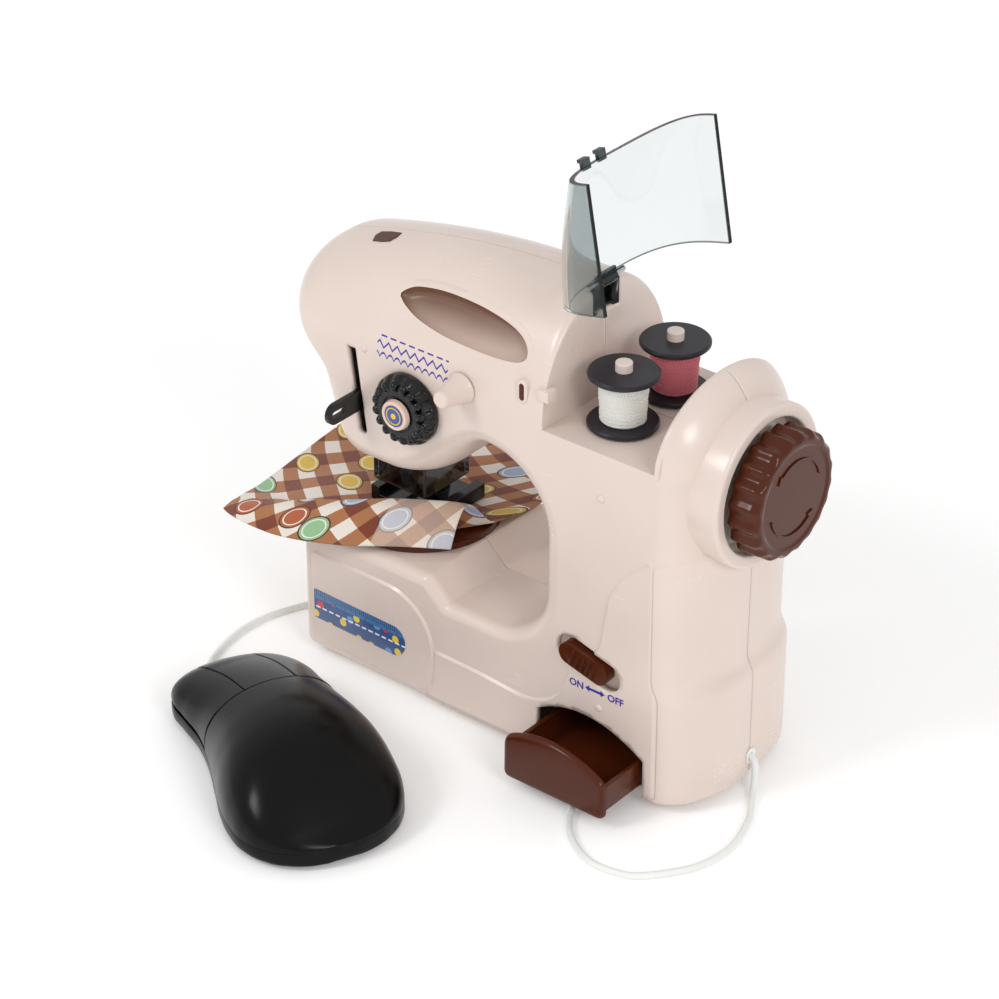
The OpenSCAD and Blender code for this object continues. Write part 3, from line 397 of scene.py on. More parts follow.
@dataclass(frozen=True)
class ClearSheet:
    """Clear cover: a bright sheet with grey legs, and painted shade as a dark band along its edges, on the
    sheet's own map.

    Attributes:
        name: The finish's name.
        sheet: Display colour of the clear sheet.
        leg: Display colour of the straight legs.
        edge: Display colour of the painted shade along the edges.
    """

    name: str
    sheet: tuple[int, int, int] = (240, 243, 243)
    leg: tuple[int, int, int] = (168, 176, 176)
    edge: tuple[int, int, int] = (70, 78, 80)

    def build(self) -> bpy.types.Material:
        """The finished material; u runs from the hinge to the free edge and v across the arch, from 0 to 1.

        Returns:
            The material.
        """
        s = Shader(self.name, Transmission_Weight=1.0, IOR=1.3, Specular_IOR_Level=0.5)
        u, v, _ = s.split(s.place("UV", 1.0))
        wave = s.noise(s.place(), 0.05, 2)
        leg = (0.15 - v) * 14.0 + 0.5
        leg = leg.op("MINIMUM", 1.0).op("MAXIMUM", 0.0)
        # Painted shade: a thin dark band along every edge of the sheet
        rim = ((u < 0.005) + (u > 0.995) + (v < 0.0012) + (v > 0.9988)).op("MINIMUM", 1.0)
        tint = s.mix(leg + wave * 0.06, linear(self.sheet), linear(self.leg))
        s.feed(Base_Color=s.mix(rim, tint, linear(self.edge)), Roughness=0.02 + wave * 0.03)
        return s.material


@dataclass(frozen=True)
class BrushedMetal:
    """Turned or drawn metal with fine lines.

    Attributes:
        name: The finish's name.
        colour: Display colour.
        rough: Roughness.
        metallic: Share of metal.
    """

    name: str
    colour: tuple[int, int, int]
    rough: float = 0.3
    metallic: float = 1.0

    def build(self) -> bpy.types.Material:
        """The finished material.

        Returns:
            The material.
        """
        s = Shader(self.name, Metallic=self.metallic)
        lines = s.streaks(s.place(), (0.2, 0.2, 6.0), 1.5, 3)
        s.feed(Base_Color=s.mix(lines, toned(self.colour, 0.85), linear(self.colour)),
               Roughness=self.rough + (lines - 0.5) * 0.2, Normal=s.bump(lines, 0.01))
        return s.material


@dataclass(frozen=True)
class SpunThread:
    """Cotton thread: plies that twist along the strand's own map.

    Attributes:
        name: The finish's name.
        colour: Display colour.
    """

    name: str
    colour: tuple[int, int, int]

    def build(self) -> bpy.types.Material:
        """The finished material; u runs round the strand and v along it in millimetres.

        Returns:
            The material.
        """
        s = Shader(self.name, Sheen_Weight=0.3, Sheen_Roughness=0.5, Specular_IOR_Level=0.3)
        u, v, _ = s.split(s.place("UV", 1.0))
        ply = ((u * 2 + v * 0.9) * (2 * math.pi)).op("SINE")
        fuzz = s.noise(s.place(), 1.6, 3)
        shade = ply * 0.25 + fuzz * 0.6 + 0.1
        s.feed(Base_Color=s.mix(shade, toned(self.colour, 0.72), toned(self.colour, 1.06)),
               Roughness=0.75 + fuzz * 0.2, Normal=s.bump(ply, 0.05))
        return s.material


@dataclass(frozen=True)
class GinghamCloth:
    """Woven cotton: brown and white checks with scattered plain discs, on the cloth's flat map.

    Attributes:
        name: The finish's name.
        check: Width of one check in millimetres.
        turn: Turn of the checks against the cloth's edge, in degrees.
        flap: The front flap that shows its paler side: from this far along, up to this far in.
        yarn: Width of one yarn in millimetres.
    """

    name: str
    check: float = 7.0
    turn: float = 38.0
    flap: tuple[float, float] = (66.0, 22.0)
    yarn: float = 0.42

    def build(self) -> bpy.types.Material:
        """The finished material; the map is in millimetres of flat cloth.

        Returns:
            The material.
        """
        s = Shader(self.name, Sheen_Weight=0.25, Sheen_Roughness=0.6, Specular_IOR_Level=0.25)
        flat = s.place("UV", 1.0)
        turned = s.node("ShaderNodeVectorRotate", {"rotation_type": "Z_AXIS"},
                        {"Vector": flat, "Angle": math.radians(self.turn)})
        a, b, _ = s.split(turned)
        fuzz = s.noise(flat, 1.1, 3)
        warp = (a / (2 * self.check)).op("FRACT") < 0.5
        weft = (b / (2 * self.check)).op("FRACT") < 0.5
        white, tan, brown = linear((240, 232, 222)), linear((174, 114, 70)), linear((120, 50, 24))
        both = s.mix(warp * weft, s.mix((warp + weft).op("MINIMUM", 1.0), white, tan), brown)
        cells, paint = s.discs(flat, 21.0, 0.55, [
            (0.0, (150, 196, 150)), (0.3, (226, 190, 70)), (0.55, (170, 186, 214)), (0.8, (182, 92, 52))])
        dyed = s.mix(cells < 0.25, both, paint)
        dyed = s.mix(abs(cells - 0.19) < 0.012, dyed, linear((245, 240, 226)))
        dyed = s.mix(abs(cells - 0.255) < 0.014, dyed, linear((70, 46, 38)))
        u, v, _ = s.split(flat)
        washed = (u > self.flap[0]) * (v < self.flap[1])
        dyed = s.mix(washed * 0.4, dyed, linear((238, 226, 214)))
        weave = (u * (math.pi / self.yarn)).op("SINE") * (v * (math.pi / self.yarn)).op("SINE")
        s.feed(Base_Color=s.mix(fuzz * 0.22, dyed, linear((120, 96, 84))), Roughness=0.82 + fuzz * 0.15,
               Normal=s.bump(weave * 0.5 + fuzz * 0.8, 0.12))
        return s.material


@dataclass(frozen=True)
class CordJacket:
    """Pale soft jacket of the cord, faintly ribbed along its map.

    Attributes:
        name: The finish's name.
        colour: Display colour.
    """

    name: str
    colour: tuple[int, int, int]

    def build(self) -> bpy.types.Material:
        """The finished material; v runs along the cord in millimetres.

        Returns:
            The material.
        """
        s = Shader(self.name, Specular_IOR_Level=0.4)
        _, v, _ = s.split(s.place("UV", 1.0))
        stain = s.noise(s.place(), 0.12, 3)
        s.feed(Base_Color=s.mix(stain, toned(self.colour, (0.9, 0.9, 0.88)), linear(self.colour)),
               Roughness=0.42 + stain * 0.12, Normal=s.bump((v * 1.7).op("SINE") * 0.3 + stain, 0.04))
        return s.material


@dataclass(frozen=True)
class Sticker:
    """Printed label: a blue ground with a rule along its top, a stitched line and plain discs.

    Attributes:
        name: The finish's name.
    """

    name: str

    def build(self) -> bpy.types.Material:
        """The finished material; x and z are the frame's own.

        Returns:
            The material.
        """
        s = Shader(self.name, Coat_Weight=0.5, Coat_Roughness=0.1)
        p = s.place()
        x, _, z = s.split(p)
        along = x + 83.0
        slope = z - 29.0 + along * 0.012
        stroke_end = (along.op("PINGPONG", 2.5) < 0.2) * -1.2 - 1.9
        rule = (slope > -3.1) * (along.op("PINGPONG", 0.5) < 0.14) * (slope > stroke_end)
        band = slope > -3.2
        stitch = (abs(slope + 6.6) < 0.35) * (along.op("PINGPONG", 1.6) > 0.55)
        cells, paint = s.discs(s.node("ShaderNodeCombineXYZ", None, {0: along, 1: slope}), 6.5, 0.7, [
            (0.0, (236, 202, 52)), (0.45, (216, 44, 56)), (0.7, (96, 150, 196))])
        ground = s.mix(s.noise(p, 0.3, 2), linear((36, 66, 118)), linear((52, 92, 150)))
        ground = s.mix((cells < 0.24) * (1 - band), ground, paint)
        ground = s.mix(stitch, ground, linear((240, 236, 226)))
        ground = s.mix(band, ground, linear((70, 116, 168)))
        s.feed(Base_Color=s.mix(rule, ground, linear((28, 40, 70))), Roughness=0.3 + s.noise(p, 0.2, 2) * 0.1)
        return s.material


class Finishes:
    """Every finish of the machine, made once."""

    def __init__(self) -> None:
        """Build the materials."""
        self.housing = HousingPlastic("housing_plastic", (219, 202, 192), 0.26, 0.12, 0.008).build()
        # The grip's colour is painted shade: the housing plastic as it looks in the shadow of the recess
        self.tan = PaintedGripShade("grip_painted_shade", (110, 76, 56), 0.36, 0.1, 0.015).build()
        self.beige = MouldedPlastic("beige_plastic", (222, 206, 196), 0.34, 0.1, 0.012).build()
        self.inner = MouldedPlastic("inner_plastic", (206, 190, 178), 0.5).build()
        self.brown = MouldedPlastic("brown_plastic", (76, 31, 12), 0.2, 0.15, 0.006, 0.18).build()
        self.black = MouldedPlastic("black_plastic", (16, 16, 18), 0.2, 0.25, 0.006, 0.22).build()
        self.pedal = MouldedPlastic("pedal_plastic", (8, 8, 9), 0.23, 0.0, 0.01, 0.16).build()
        self.spool = MouldedPlastic("spool_plastic", (40, 37, 43), 0.32, 0.0, 0.015, 0.28).build()
        self.rubber = MouldedPlastic("rubber", (34, 34, 36), 0.75, 0.0, 0.06, 0.3).build()
        self.print = MouldedPlastic("blue_print", (50, 42, 150), 0.5, 0.0, 0.005).build()
        self.cap = MouldedPlastic("cap_plastic", (226, 196, 178), 0.3, 0.3, 0.01).build()
        self.cap_blue = MouldedPlastic("cap_disc", (38, 74, 140), 0.3, 0.4, 0.01).build()
        self.cap_gold = MouldedPlastic("cap_mark", (228, 186, 60), 0.4, 0.2, 0.01).build()
        self.smoke = ClearSheet("smoked_plastic").build()
        self.guard = SmokedPlastic("guard_plastic", (92, 84, 78), 0.06).build()
        self.steel = BrushedMetal("steel", (188, 190, 194)).build()
        self.bush = BrushedMetal("bush_metal", (150, 140, 118), 0.45).build()
        self.can = BrushedMetal("motor_can", (160, 163, 168), 0.38).build()
        self.sleeve = MouldedPlastic("battery_sleeve", (58, 108, 72), 0.3, 0.4, 0.01).build()
        self.board = MouldedPlastic("circuit_board", (44, 92, 58), 0.5).build()
        self.white_thread = SpunThread("white_thread", (250, 249, 242)).build()
        self.pink_thread = SpunThread("pink_thread", (232, 122, 136)).build()
        self.cloth = GinghamCloth("gingham_cloth").build()
        self.cord = CordJacket("cord_jacket", (236, 238, 236)).build()
        self.label = Sticker("label_print").build()


def grid_faces(rows: int, cols: int, wrap: bool = False, flip: bool = False) -> np.ndarray:
    """Quads of a grid of points.

    Args:
        rows: Points along the first parameter.
        cols: Points along the second parameter.
        wrap: Whether the last column joins the first.
        flip: Whether the faces look the other way.

    Returns:
        An array of four point numbers a face.
    """
    r = np.arange(rows - 1)[:, None]
    c = np.arange(cols if wrap else cols - 1)[None, :]
    n = (c + 1) % cols
    corners = (r * cols + c, r * cols + n, (r + 1) * cols + n, (r + 1) * cols + c)
    quads = np.stack(np.broadcast_arrays(*corners), -1)
    quads = quads.reshape(-1, 4)
    return quads[:, ::-1] if flip else quads


def capped(rings: int, n: int) -> list[list[int]]:
    """Faces of closed rings in a row, with both ends shut."""
    last = (rings - 1) * n
    return grid_faces(rings, n, True).tolist() + [list(range(n))[::-1], list(range(last, last + n))]


def piece(name: str, parts: Sequence[Part], material: bpy.types.Material, body: Body,
          replaces: Sequence[str] = (), angle: float = 35.0, recalc: bool = True,
          uv: Optional[np.ndarray] = None) -> bpy.types.Object:
    """Join surfaces into one mesh object that rides a body.

    Args:
        name: The piece's name.
        parts: Points in millimetres and faces of each surface.
        material: The finish.
        body: The body it moves with.
        replaces: Frame nodes that it stands for.
        angle: Edges sharper than this many degrees stay sharp.
        recalc: Whether the faces are turned outwards, for a closed shape.
        uv: Map coordinates of each point, where the finish follows the surface.

    Returns:
        The object.
    """
    points = np.concatenate([np.asarray(p, float).reshape(-1, 3) for p, _ in parts]) * MM
    starts = np.cumsum([0] + [np.asarray(p).reshape(-1, 3).shape[0] for p, _ in parts])
    faces = [[int(i + s) for i in f] for (_, fs), s in zip(parts, starts)
             for f in np.asarray(fs, object).tolist()]
    mesh = bpy.data.meshes.new(name)
    mesh.from_pydata(points.tolist(), [], faces)
    if uv is not None:
        layer = mesh.uv_layers.new(name="flat")
        index = np.empty(len(mesh.loops), np.int32)
        mesh.loops.foreach_get("vertex_index", index)
        layer.data.foreach_set("uv", np.asarray(uv, np.float32)[index].ravel())
    bm = bmesh.new()
    bm.from_mesh(mesh)
    bmesh.ops.remove_doubles(bm, verts=bm.verts, dist=2e-6)
    bmesh.ops.delete(bm, geom=[v for v in bm.verts if not v.link_faces], context="VERTS")
    if recalc:
        bmesh.ops.recalc_face_normals(bm, faces=bm.faces)
    bm.to_mesh(mesh)
    bm.free()
    return place_mesh(name, mesh, material, body, replaces, angle)


def place_mesh(name: str, mesh: bpy.types.Mesh, material: bpy.types.Material, body: Body,
               replaces: Sequence[str], angle: float) -> bpy.types.Object:
    """Make an object of a finished mesh, shade it, dress it and let it ride.

    Args:
        name: The piece's name.
        mesh: The mesh, in metres in the frame.
        material: The finish.
        body: The body it moves with.
        replaces: Frame nodes that it stands for.
        angle: Edges sharper than this many degrees stay sharp.

    Returns:
        The object.
    """
    mesh.polygons.foreach_set("use_smooth", np.ones(len(mesh.polygons), bool))
    mesh.set_sharp_from_angle(angle=math.radians(angle))
    mesh.materials.clear()
    mesh.materials.append(material)
    obj = bpy.data.objects.new(name, mesh)
    bpy.context.scene.collection.objects.link(obj)
    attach(obj, body.value)
    if replaces:
        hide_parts(*replaces)
    LOG.info("%s: %d faces on %s", name, len(mesh.polygons), body.value)
    return obj


def thicken(obj: bpy.types.Object, thickness: float, offset: float = -1.0) -> None:
    """Give a surface its wall."""
    wall = obj.modifiers.new("wall", "SOLIDIFY")
    wall.thickness, wall.offset = thickness * MM, offset


def round_edges(obj: bpy.types.Object, width: float, angle: float, segments: int = 2) -> None:
    """Round the edges of an object.

    Args:
        obj: The object.
        width: Width of the rounding in millimetres.
        angle: Only edges sharper than this many degrees are rounded.
        segments: Steps of the rounding.
    """
    bevel = obj.modifiers.new("rounding", "BEVEL")
    bevel.width, bevel.segments = width * MM, segments
    bevel.limit_method, bevel.angle_limit = "ANGLE", math.radians(angle)


def softened(node: str, name: str, width: float, material: bpy.types.Material, body: Body,
             segments: int = 2) -> bpy.types.Object:
    """Stand a merged copy with rounded edges in for a frame node.

    Args:
        node: The frame node.
        name: The piece's name.
        width: Width of the rounding in millimetres.
        material: The finish.
        body: The body it moves with.
        segments: Steps of the rounding.

    Returns:
        The object.
    """
    mesh = frame["nodes"][node].data.copy()
    mesh.name = name
    bm = bmesh.new()
    bm.from_mesh(mesh)
    bmesh.ops.remove_doubles(bm, verts=bm.verts, dist=1e-5)
    bmesh.ops.dissolve_limit(bm, angle_limit=math.radians(0.6), verts=bm.verts, edges=bm.edges)
    bm.to_mesh(mesh)
    bm.free()
    obj = place_mesh(name, mesh, material, body, [node], 35.0)
    round_edges(obj, width, 32, segments)
    return obj


def bezier(p: np.ndarray, q: np.ndarray, r: np.ndarray, s: np.ndarray, t: np.ndarray) -> np.ndarray:
    """Cubic curve from p to s with handles q and r, at each t.

    Args:
        p: Start.
        q: First handle.
        r: Second handle.
        s: End.
        t: Places from 0 to 1.

    Returns:
        The points.
    """
    t = np.asarray(t)[:, None]
    m = 1 - t
    return m ** 3 * p + 3 * m * m * t * q + 3 * m * t * t * r + t ** 3 * s


def run_along(line: np.ndarray) -> np.ndarray:
    """Length of a line up to each of its points."""
    return np.concatenate([[0], np.cumsum(np.linalg.norm(np.diff(line, axis=0), axis=1))])


def resampled(line: np.ndarray, n: int) -> np.ndarray:
    """The same line in even steps.

    Args:
        line: The line.
        n: Number of steps.

    Returns:
        The new points, one more than the steps.
    """
    run = run_along(line)
    at = np.linspace(0, run[-1], n + 1)
    return np.stack([np.interp(at, run, line[:, k]) for k in range(line.shape[1])], 1)


def evenly(line: np.ndarray, spacing: float) -> np.ndarray:
    """The same line with its points at about an even distance."""
    return resampled(line, max(2, int(run_along(line)[-1] / spacing)))


def beside(ahead: np.ndarray) -> np.ndarray:
    """Unit directions to the left of plane directions."""
    return np.stack([-ahead[:, 1], ahead[:, 0]], 1) / np.linalg.norm(ahead, axis=1)[:, None]


def ahead_of(loop: np.ndarray) -> np.ndarray:
    """Direction of a closed loop at each of its points."""
    return np.roll(loop, -1, 0) - np.roll(loop, 1, 0)


def circle(radius: float, turn: np.ndarray, centre: Sequence[float] = (0.0, 0.0)) -> np.ndarray:
    """Points of a circle."""
    return np.stack([centre[0] + radius * np.cos(turn), centre[1] + radius * np.sin(turn)], -1)


def through(points: Sequence[Sequence[float]], spacing: float, closed: bool = False) -> np.ndarray:
    """Smooth line through points, each span a cubic whose slopes come from its neighbours.

    Args:
        points: The points, in the plane or in space.
        spacing: Distance between the points of the result.
        closed: Whether the line returns to its start.

    Returns:
        Evenly spaced points.
    """
    p = np.asarray(points, float)
    ends = np.vstack([p[-1], p, p[0], p[1]]) if closed else np.vstack([2 * p[0] - p[1], p, 2 * p[-1] - p[-2]])
    a, b, c, d = ends[:-3], ends[1:-2], ends[2:-1], ends[3:]
    t = np.linspace(0, 1, 24, endpoint=False)[None, :, None]
    a, b, c, d = (v[:, None, :] for v in (a, b, c, d))
    fine = 0.5 * (2 * b + (c - a) * t + (2 * a - 5 * b + 4 * c - d) * t ** 2
                  + (3 * b - 3 * c + d - a) * t ** 3)
    fine = fine.reshape(-1, p.shape[1])
    fine = np.vstack([fine, p[:1] if closed else p[-1:]])
    even = resampled(fine, max(2, int(round(run_along(fine)[-1] / spacing))))
    return even[:-1] if closed else even


def inside(points: np.ndarray, loop: np.ndarray) -> np.ndarray:
    """Whether each plane point is inside a closed loop, by counting crossings.

    Args:
        points: Plane points.
        loop: Points of the loop.

    Returns:
        One truth value per point.
    """
    x, y = points[:, :1], points[:, 1:2]
    a, b = loop, np.roll(loop, -1, 0)
    spans = (a[None, :, 1] > y) != (b[None, :, 1] > y)
    rise = np.where(np.abs(b[:, 1] - a[:, 1]) < 1e-12, 1e-12, b[:, 1] - a[:, 1])
    cross = a[None, :, 0] + (y - a[None, :, 1]) * ((b[:, 0] - a[:, 0]) / rise)[None, :]
    return (np.sum(spans & (x < cross), 1) % 2).astype(bool)


def distance(points: np.ndarray, line: np.ndarray, closed: bool) -> np.ndarray:
    """Least distance of each plane point from a line of points.

    Args:
        points: Plane points.
        line: Points of the line.
        closed: Whether it ends at its start.

    Returns:
        One distance per point.
    """
    a = line if closed else line[:-1]
    b = np.roll(line, -1, 0) if closed else line[1:]
    best = np.full(len(points), 1e9)
    for chunk in range(0, len(a), 64):
        p, q = a[None, chunk:chunk + 64], b[None, chunk:chunk + 64]
        d = q - p
        t = np.clip(np.sum((points[:, None] - p) * d, -1) / np.maximum(np.sum(d * d, -1), 1e-12), 0, 1)
        best = np.minimum(best, np.linalg.norm(points[:, None] - p - t[..., None] * d, axis=-1).min(1))
    return best


def smoothstep(low: float, high: float, value: np.ndarray) -> np.ndarray:
    """Rise from zero to one between low and high, level at both ends."""
    t = np.clip((value - low) / (high - low), 0, 1)
    return t * t * (3 - 2 * t)


def stadium(centre: Sequence[float], half: float, radius: float, turn: float, n: int = 20) -> np.ndarray:
    """Outline of a slot with round ends, turned by an angle in degrees in the x and z plane.

    Args:
        centre: Middle of the slot.
        half: Half the distance between its round ends.
        radius: Radius of the ends.
        turn: Turn in degrees.
        n: Points in each end.

    Returns:
        The outline.
    """
    a = np.radians(np.linspace(-90, 90, n))
    right = circle(radius, a, (half, 0.0))
    both = np.vstack([right, -right])
    c, s = math.cos(math.radians(turn)), math.sin(math.radians(turn))
    return both @ np.array([[c, s], [-s, c]]) + np.asarray(centre)


def prism(outline: np.ndarray, back: float, front: float, rounding: float = 0.0) -> list[Part]:
    """Plate with an outline in x and z, between two depths, its front edge rounded by a quarter circle.

    Args:
        outline: Points of the outline, counter-clockwise as seen from the front.
        back: Depth y of the back.
        front: Depth y of the front, which is the smaller.
        rounding: Radius of the front edge.

    Returns:
        Parts of a closed mesh.
    """
    steps = np.radians(np.linspace(0, 90, 5 if rounding else 1))
    inwards = beside(ahead_of(outline))
    rings = [np.stack([outline[:, 0], np.full(len(outline), back), outline[:, 1]], 1)]
    for a in steps:
        shrunk = outline + inwards * rounding * (1 - math.cos(a))
        y = front + rounding * (1 - math.sin(a))
        rings.append(np.stack([shrunk[:, 0], np.full(len(outline), y), shrunk[:, 1]], 1))
    return [(np.concatenate(rings), capped(len(rings), len(outline)))]


def revolve(profile: np.ndarray, n: int, warp: Optional[Callable] = None) -> Part:
    """Surface of revolution about the z axis.

    Args:
        profile: Radius and height of each point; ends at radius zero close the shape.
        n: Steps round the axis.
        warp: Gives new radius and height from radius, height and angle.

    Returns:
        Points and faces.
    """
    a = np.linspace(0, 2 * np.pi, n, endpoint=False)[None, :]
    r, h = profile[:, :1] + 0 * a, profile[:, 1:2] + 0 * a
    if warp is not None:
        r, h = warp(r, h, a + 0 * r)
    points = np.stack([r * np.cos(a), r * np.sin(a), h], -1).reshape(-1, 3)
    return points, grid_faces(len(profile), n, True)


def rounded_profile(corners: Sequence[Sequence[float]], radii: Sequence[float], n: int = 6) -> np.ndarray:
    """Line through corners with each inner corner rounded by a quadratic curve of that reach.

    Args:
        corners: Corner points.
        radii: Rounding of each inner corner.
        n: Points in each rounding.

    Returns:
        The line.
    """
    p = np.asarray(corners, float)
    out = [p[:1]]
    t = np.linspace(0, 1, n)[:, None]
    for k in range(1, len(p) - 1):
        before, after = p[k - 1] - p[k], p[k + 1] - p[k]
        a = p[k] + before * min(radii[k - 1] / max(np.linalg.norm(before), 1e-9), 0.5)
        b = p[k] + after * min(radii[k - 1] / max(np.linalg.norm(after), 1e-9), 0.5)
        out.append((1 - t) ** 2 * a + 2 * t * (1 - t) * p[k] + t * t * b)
    return np.vstack(out + [p[-1:]])


def turn_to_x(points: np.ndarray, x: float, z: float) -> np.ndarray:
    """Lay a shape's z axis along x, with its foot at x and its axis at height z."""
    return np.stack([points[:, 2] + x, points[:, 0], points[:, 1] + z], 1)


def turn_to_front(points: np.ndarray, x: float, y: float, z: float) -> np.ndarray:
    """Point a shape's z axis at the viewer in front, with its foot at (x, y, z)."""
    return np.stack([points[:, 0] + x, y - points[:, 2], points[:, 1] + z], 1)


@dataclass
class Housing:
    """The two moulded halves: front and rear skins of the arched body, with the seam between them.

    Each outline point holds x and z of the widest outline, x and z of the flat front's edge, and the
    depth b of the rounding between them. At a turn a the skin lies at
    inner + (outer - inner) sin a across, and at b - half_depth - b cos a in depth.

    Fields that end in _z are heights and in _x places along the machine. The base is given by its two
    ends, and the deck by its two ends and its height. Of the sunk grip, scoop_rise is its lowest height
    and how far it rises, and scoop_depth its least depth and what is added under the upper edge. The
    lists are points of the raised panel's edge, of the raised pad and of the grip's mouth.
    """

    finishes: Finishes
    half_depth: float = 34.7
    wall: float = 2.2
    foot_h: float = 4.0
    base: tuple[float, float] = (-90.5, 89.5)
    table_z: float = 55.0
    floor_z: float = 46.5
    head_z: float = 87.5
    under_z: float = 117.5
    deck: tuple[float, float, float] = (22.6, 70.2, 135.0)
    crown_z: float = 178.0
    nose_x: float = -100.5
    hump_z: float = 161.3
    end_x: float = 87.5
    throat_x: float = 22.0
    needle_x: float = -61.0
    shaft_z: float = 123.0
    seam: float = 0.25
    spacing: float = 1.4
    rings: int = 48
    collar_x: float = 78.0
    collar_h: float = 14.2
    collar_radii: tuple[float, float] = (24.6, 29.7)
    scoop_middle: tuple[float, float] = (-17.5, 159.8)
    scoop_rise: tuple[float, float] = (153.5, 12.8)
    scoop_depth: tuple[float, float] = (1.0, 3.6)
    panel: list = field(default_factory=lambda: [
        (-26.2, 25.6), (-4.6, 25), (14.7, 23.9), (24.7, 26.5), (30, 30.6), (33.4, 36), (36, 43), (41, 50),
        (48.6, 58), (51.6, 72.9), (53.6, 82), (61, 92.7), (68.7, 98.6), (78.9, 102.7), (84.6, 103.4),
        (92, 103.8)])
    pad: list = field(default_factory=lambda: [
        (-85.6, 27), (-85.2, 40), (-83.4, 45.2), (-74.8, 45.2), (-48.7, 45.2), (-40.2, 43.6), (-33.2, 39.2),
        (-28.4, 32.5), (-26.6, 24.2), (-27.6, 12), (-30.4, 7.2), (-36, 5.9), (-64.8, 7.2), (-76, 8.8),
        (-82.6, 12.4), (-85.2, 18)])
    scoop: list = field(default_factory=lambda: [
        (-46.8, 160.8), (-42.6, 163.6), (-36.1, 165.1), (-28.5, 166), (-20.6, 166.3), (-12.8, 166.2),
        (-6.1, 165.7), (-0.2, 164.9), (4.3, 163.9), (8.1, 162.5), (10.9, 160.5), (12.2, 158.2), (11.8, 156.3),
        (8.5, 154.6), (-0.3, 153.6), (-12.2, 153.5), (-24.4, 154.1), (-35.6, 155.8), (-42.3, 157.9),
        (-45.3, 159.3)])

    def keys(self) -> dict[str, np.ndarray]:
        """Key points of the outline, walked counter-clockwise as seen from the front.

        Returns:
            Key points by name.
        """
        def pt(o: tuple, i: tuple, b: float) -> np.ndarray:
            """One key point."""
            return np.array([*o, *i, b], float)
        d0, d1, dz = self.deck
        rim = self.half_depth - 0.5
        hx = self.nose_x + 15.5
        hz, tx, uz = self.head_z, self.throat_x, self.under_z
        fz, tz, fh = self.floor_z, self.table_z, self.foot_h
        b0, b1 = self.base
        nx, cz, ex, hu = self.needle_x, self.crown_z, self.end_x, self.hump_z
        return {
            "deck_l": pt((d0, dz), (d0, dz), rim), "deck_r": pt((d1, dz), (d1, dz), rim),
            "wall_top": pt((d0, cz - 2.5), (d0, dz + 0.8), rim),
            "crown_r": pt((d0 - 2.5, cz), (d0 - 2.5, dz + 1), rim),
            "crown_m": pt((d0 - 12, cz), (d0 - 12, dz + 1.2), rim),
            "nose_t": pt((self.nose_x + 13, cz - 14.5), (hx + 11, dz + 2.5), rim),
            "nose_l": pt((self.nose_x, cz - 31), (hx + 5, dz - 2), 28),
            "head_l": pt((hx, hz + 31.5), (hx + 15.5, hz + 31.5), 27),
            "head_b": pt((hx + 5.5, hz + 12.5), (hx + 20.5, hz + 18.5), 26),
            "chin_l": pt((hx + 23, hz), (hx + 27, hz + 12.5), 24),
            "chin_r": pt((hx + 35, hz), (hx + 35, hz + 12.5), 24),
            "under": pt((tx - 26, uz), (tx - 26, uz + 8.5), 8),
            "throat_t": pt((tx, uz - 26), (tx + 8.5, uz - 26), 8),
            "throat_b": pt((tx, fz + 22), (tx + 8.5, fz + 22), 8),
            "floor_r": pt((tx - 22, fz), (tx - 22, fz - 4.5), 5),
            "ramp_b": pt((nx + 40, fz), (nx + 38, fz - 4.5), 5),
            "ramp_t": pt((nx + 31, tz), (nx + 29, tz - 4.5), 5),
            "table_l": pt((b0 + 3, tz), (b0 + 6.5, tz - 4.5), 5),
            "left_t": pt((b0, tz - 3), (b0 + 4.5, tz - 6.5), 6),
            "left_b": pt((b0, fh + 3), (b0 + 4.5, fh + 3.5), 6),
            "bottom_l": pt((b0 + 3, fh), (b0 + 6, fh + 0.8), 6),
            "bottom_r": pt((b1 - 3, fh), (b1 - 17, fh + 0.8), 30),
            "skirt_b": pt((b1, fh + 3), (b1 - 15, fh + 3.5), 30),
            "skirt_t": pt((b1, fz - 1.5), (b1 - 15, fz - 1.5), 30),
            "end_b": pt((ex - 0.8, fz + 9.5), (ex - 16, fz + 8.5), 31),
            "end_t": pt((ex, dz + 5), (d1 + 0.8, dz - 7), 32),
            "hump_r": pt((d1 + 2.8, hu), (d1 + 0.1, dz + 0.6), rim),
            "hump_l": pt((d1, hu - 2.8), (d1, dz + 0.5), rim),
        }

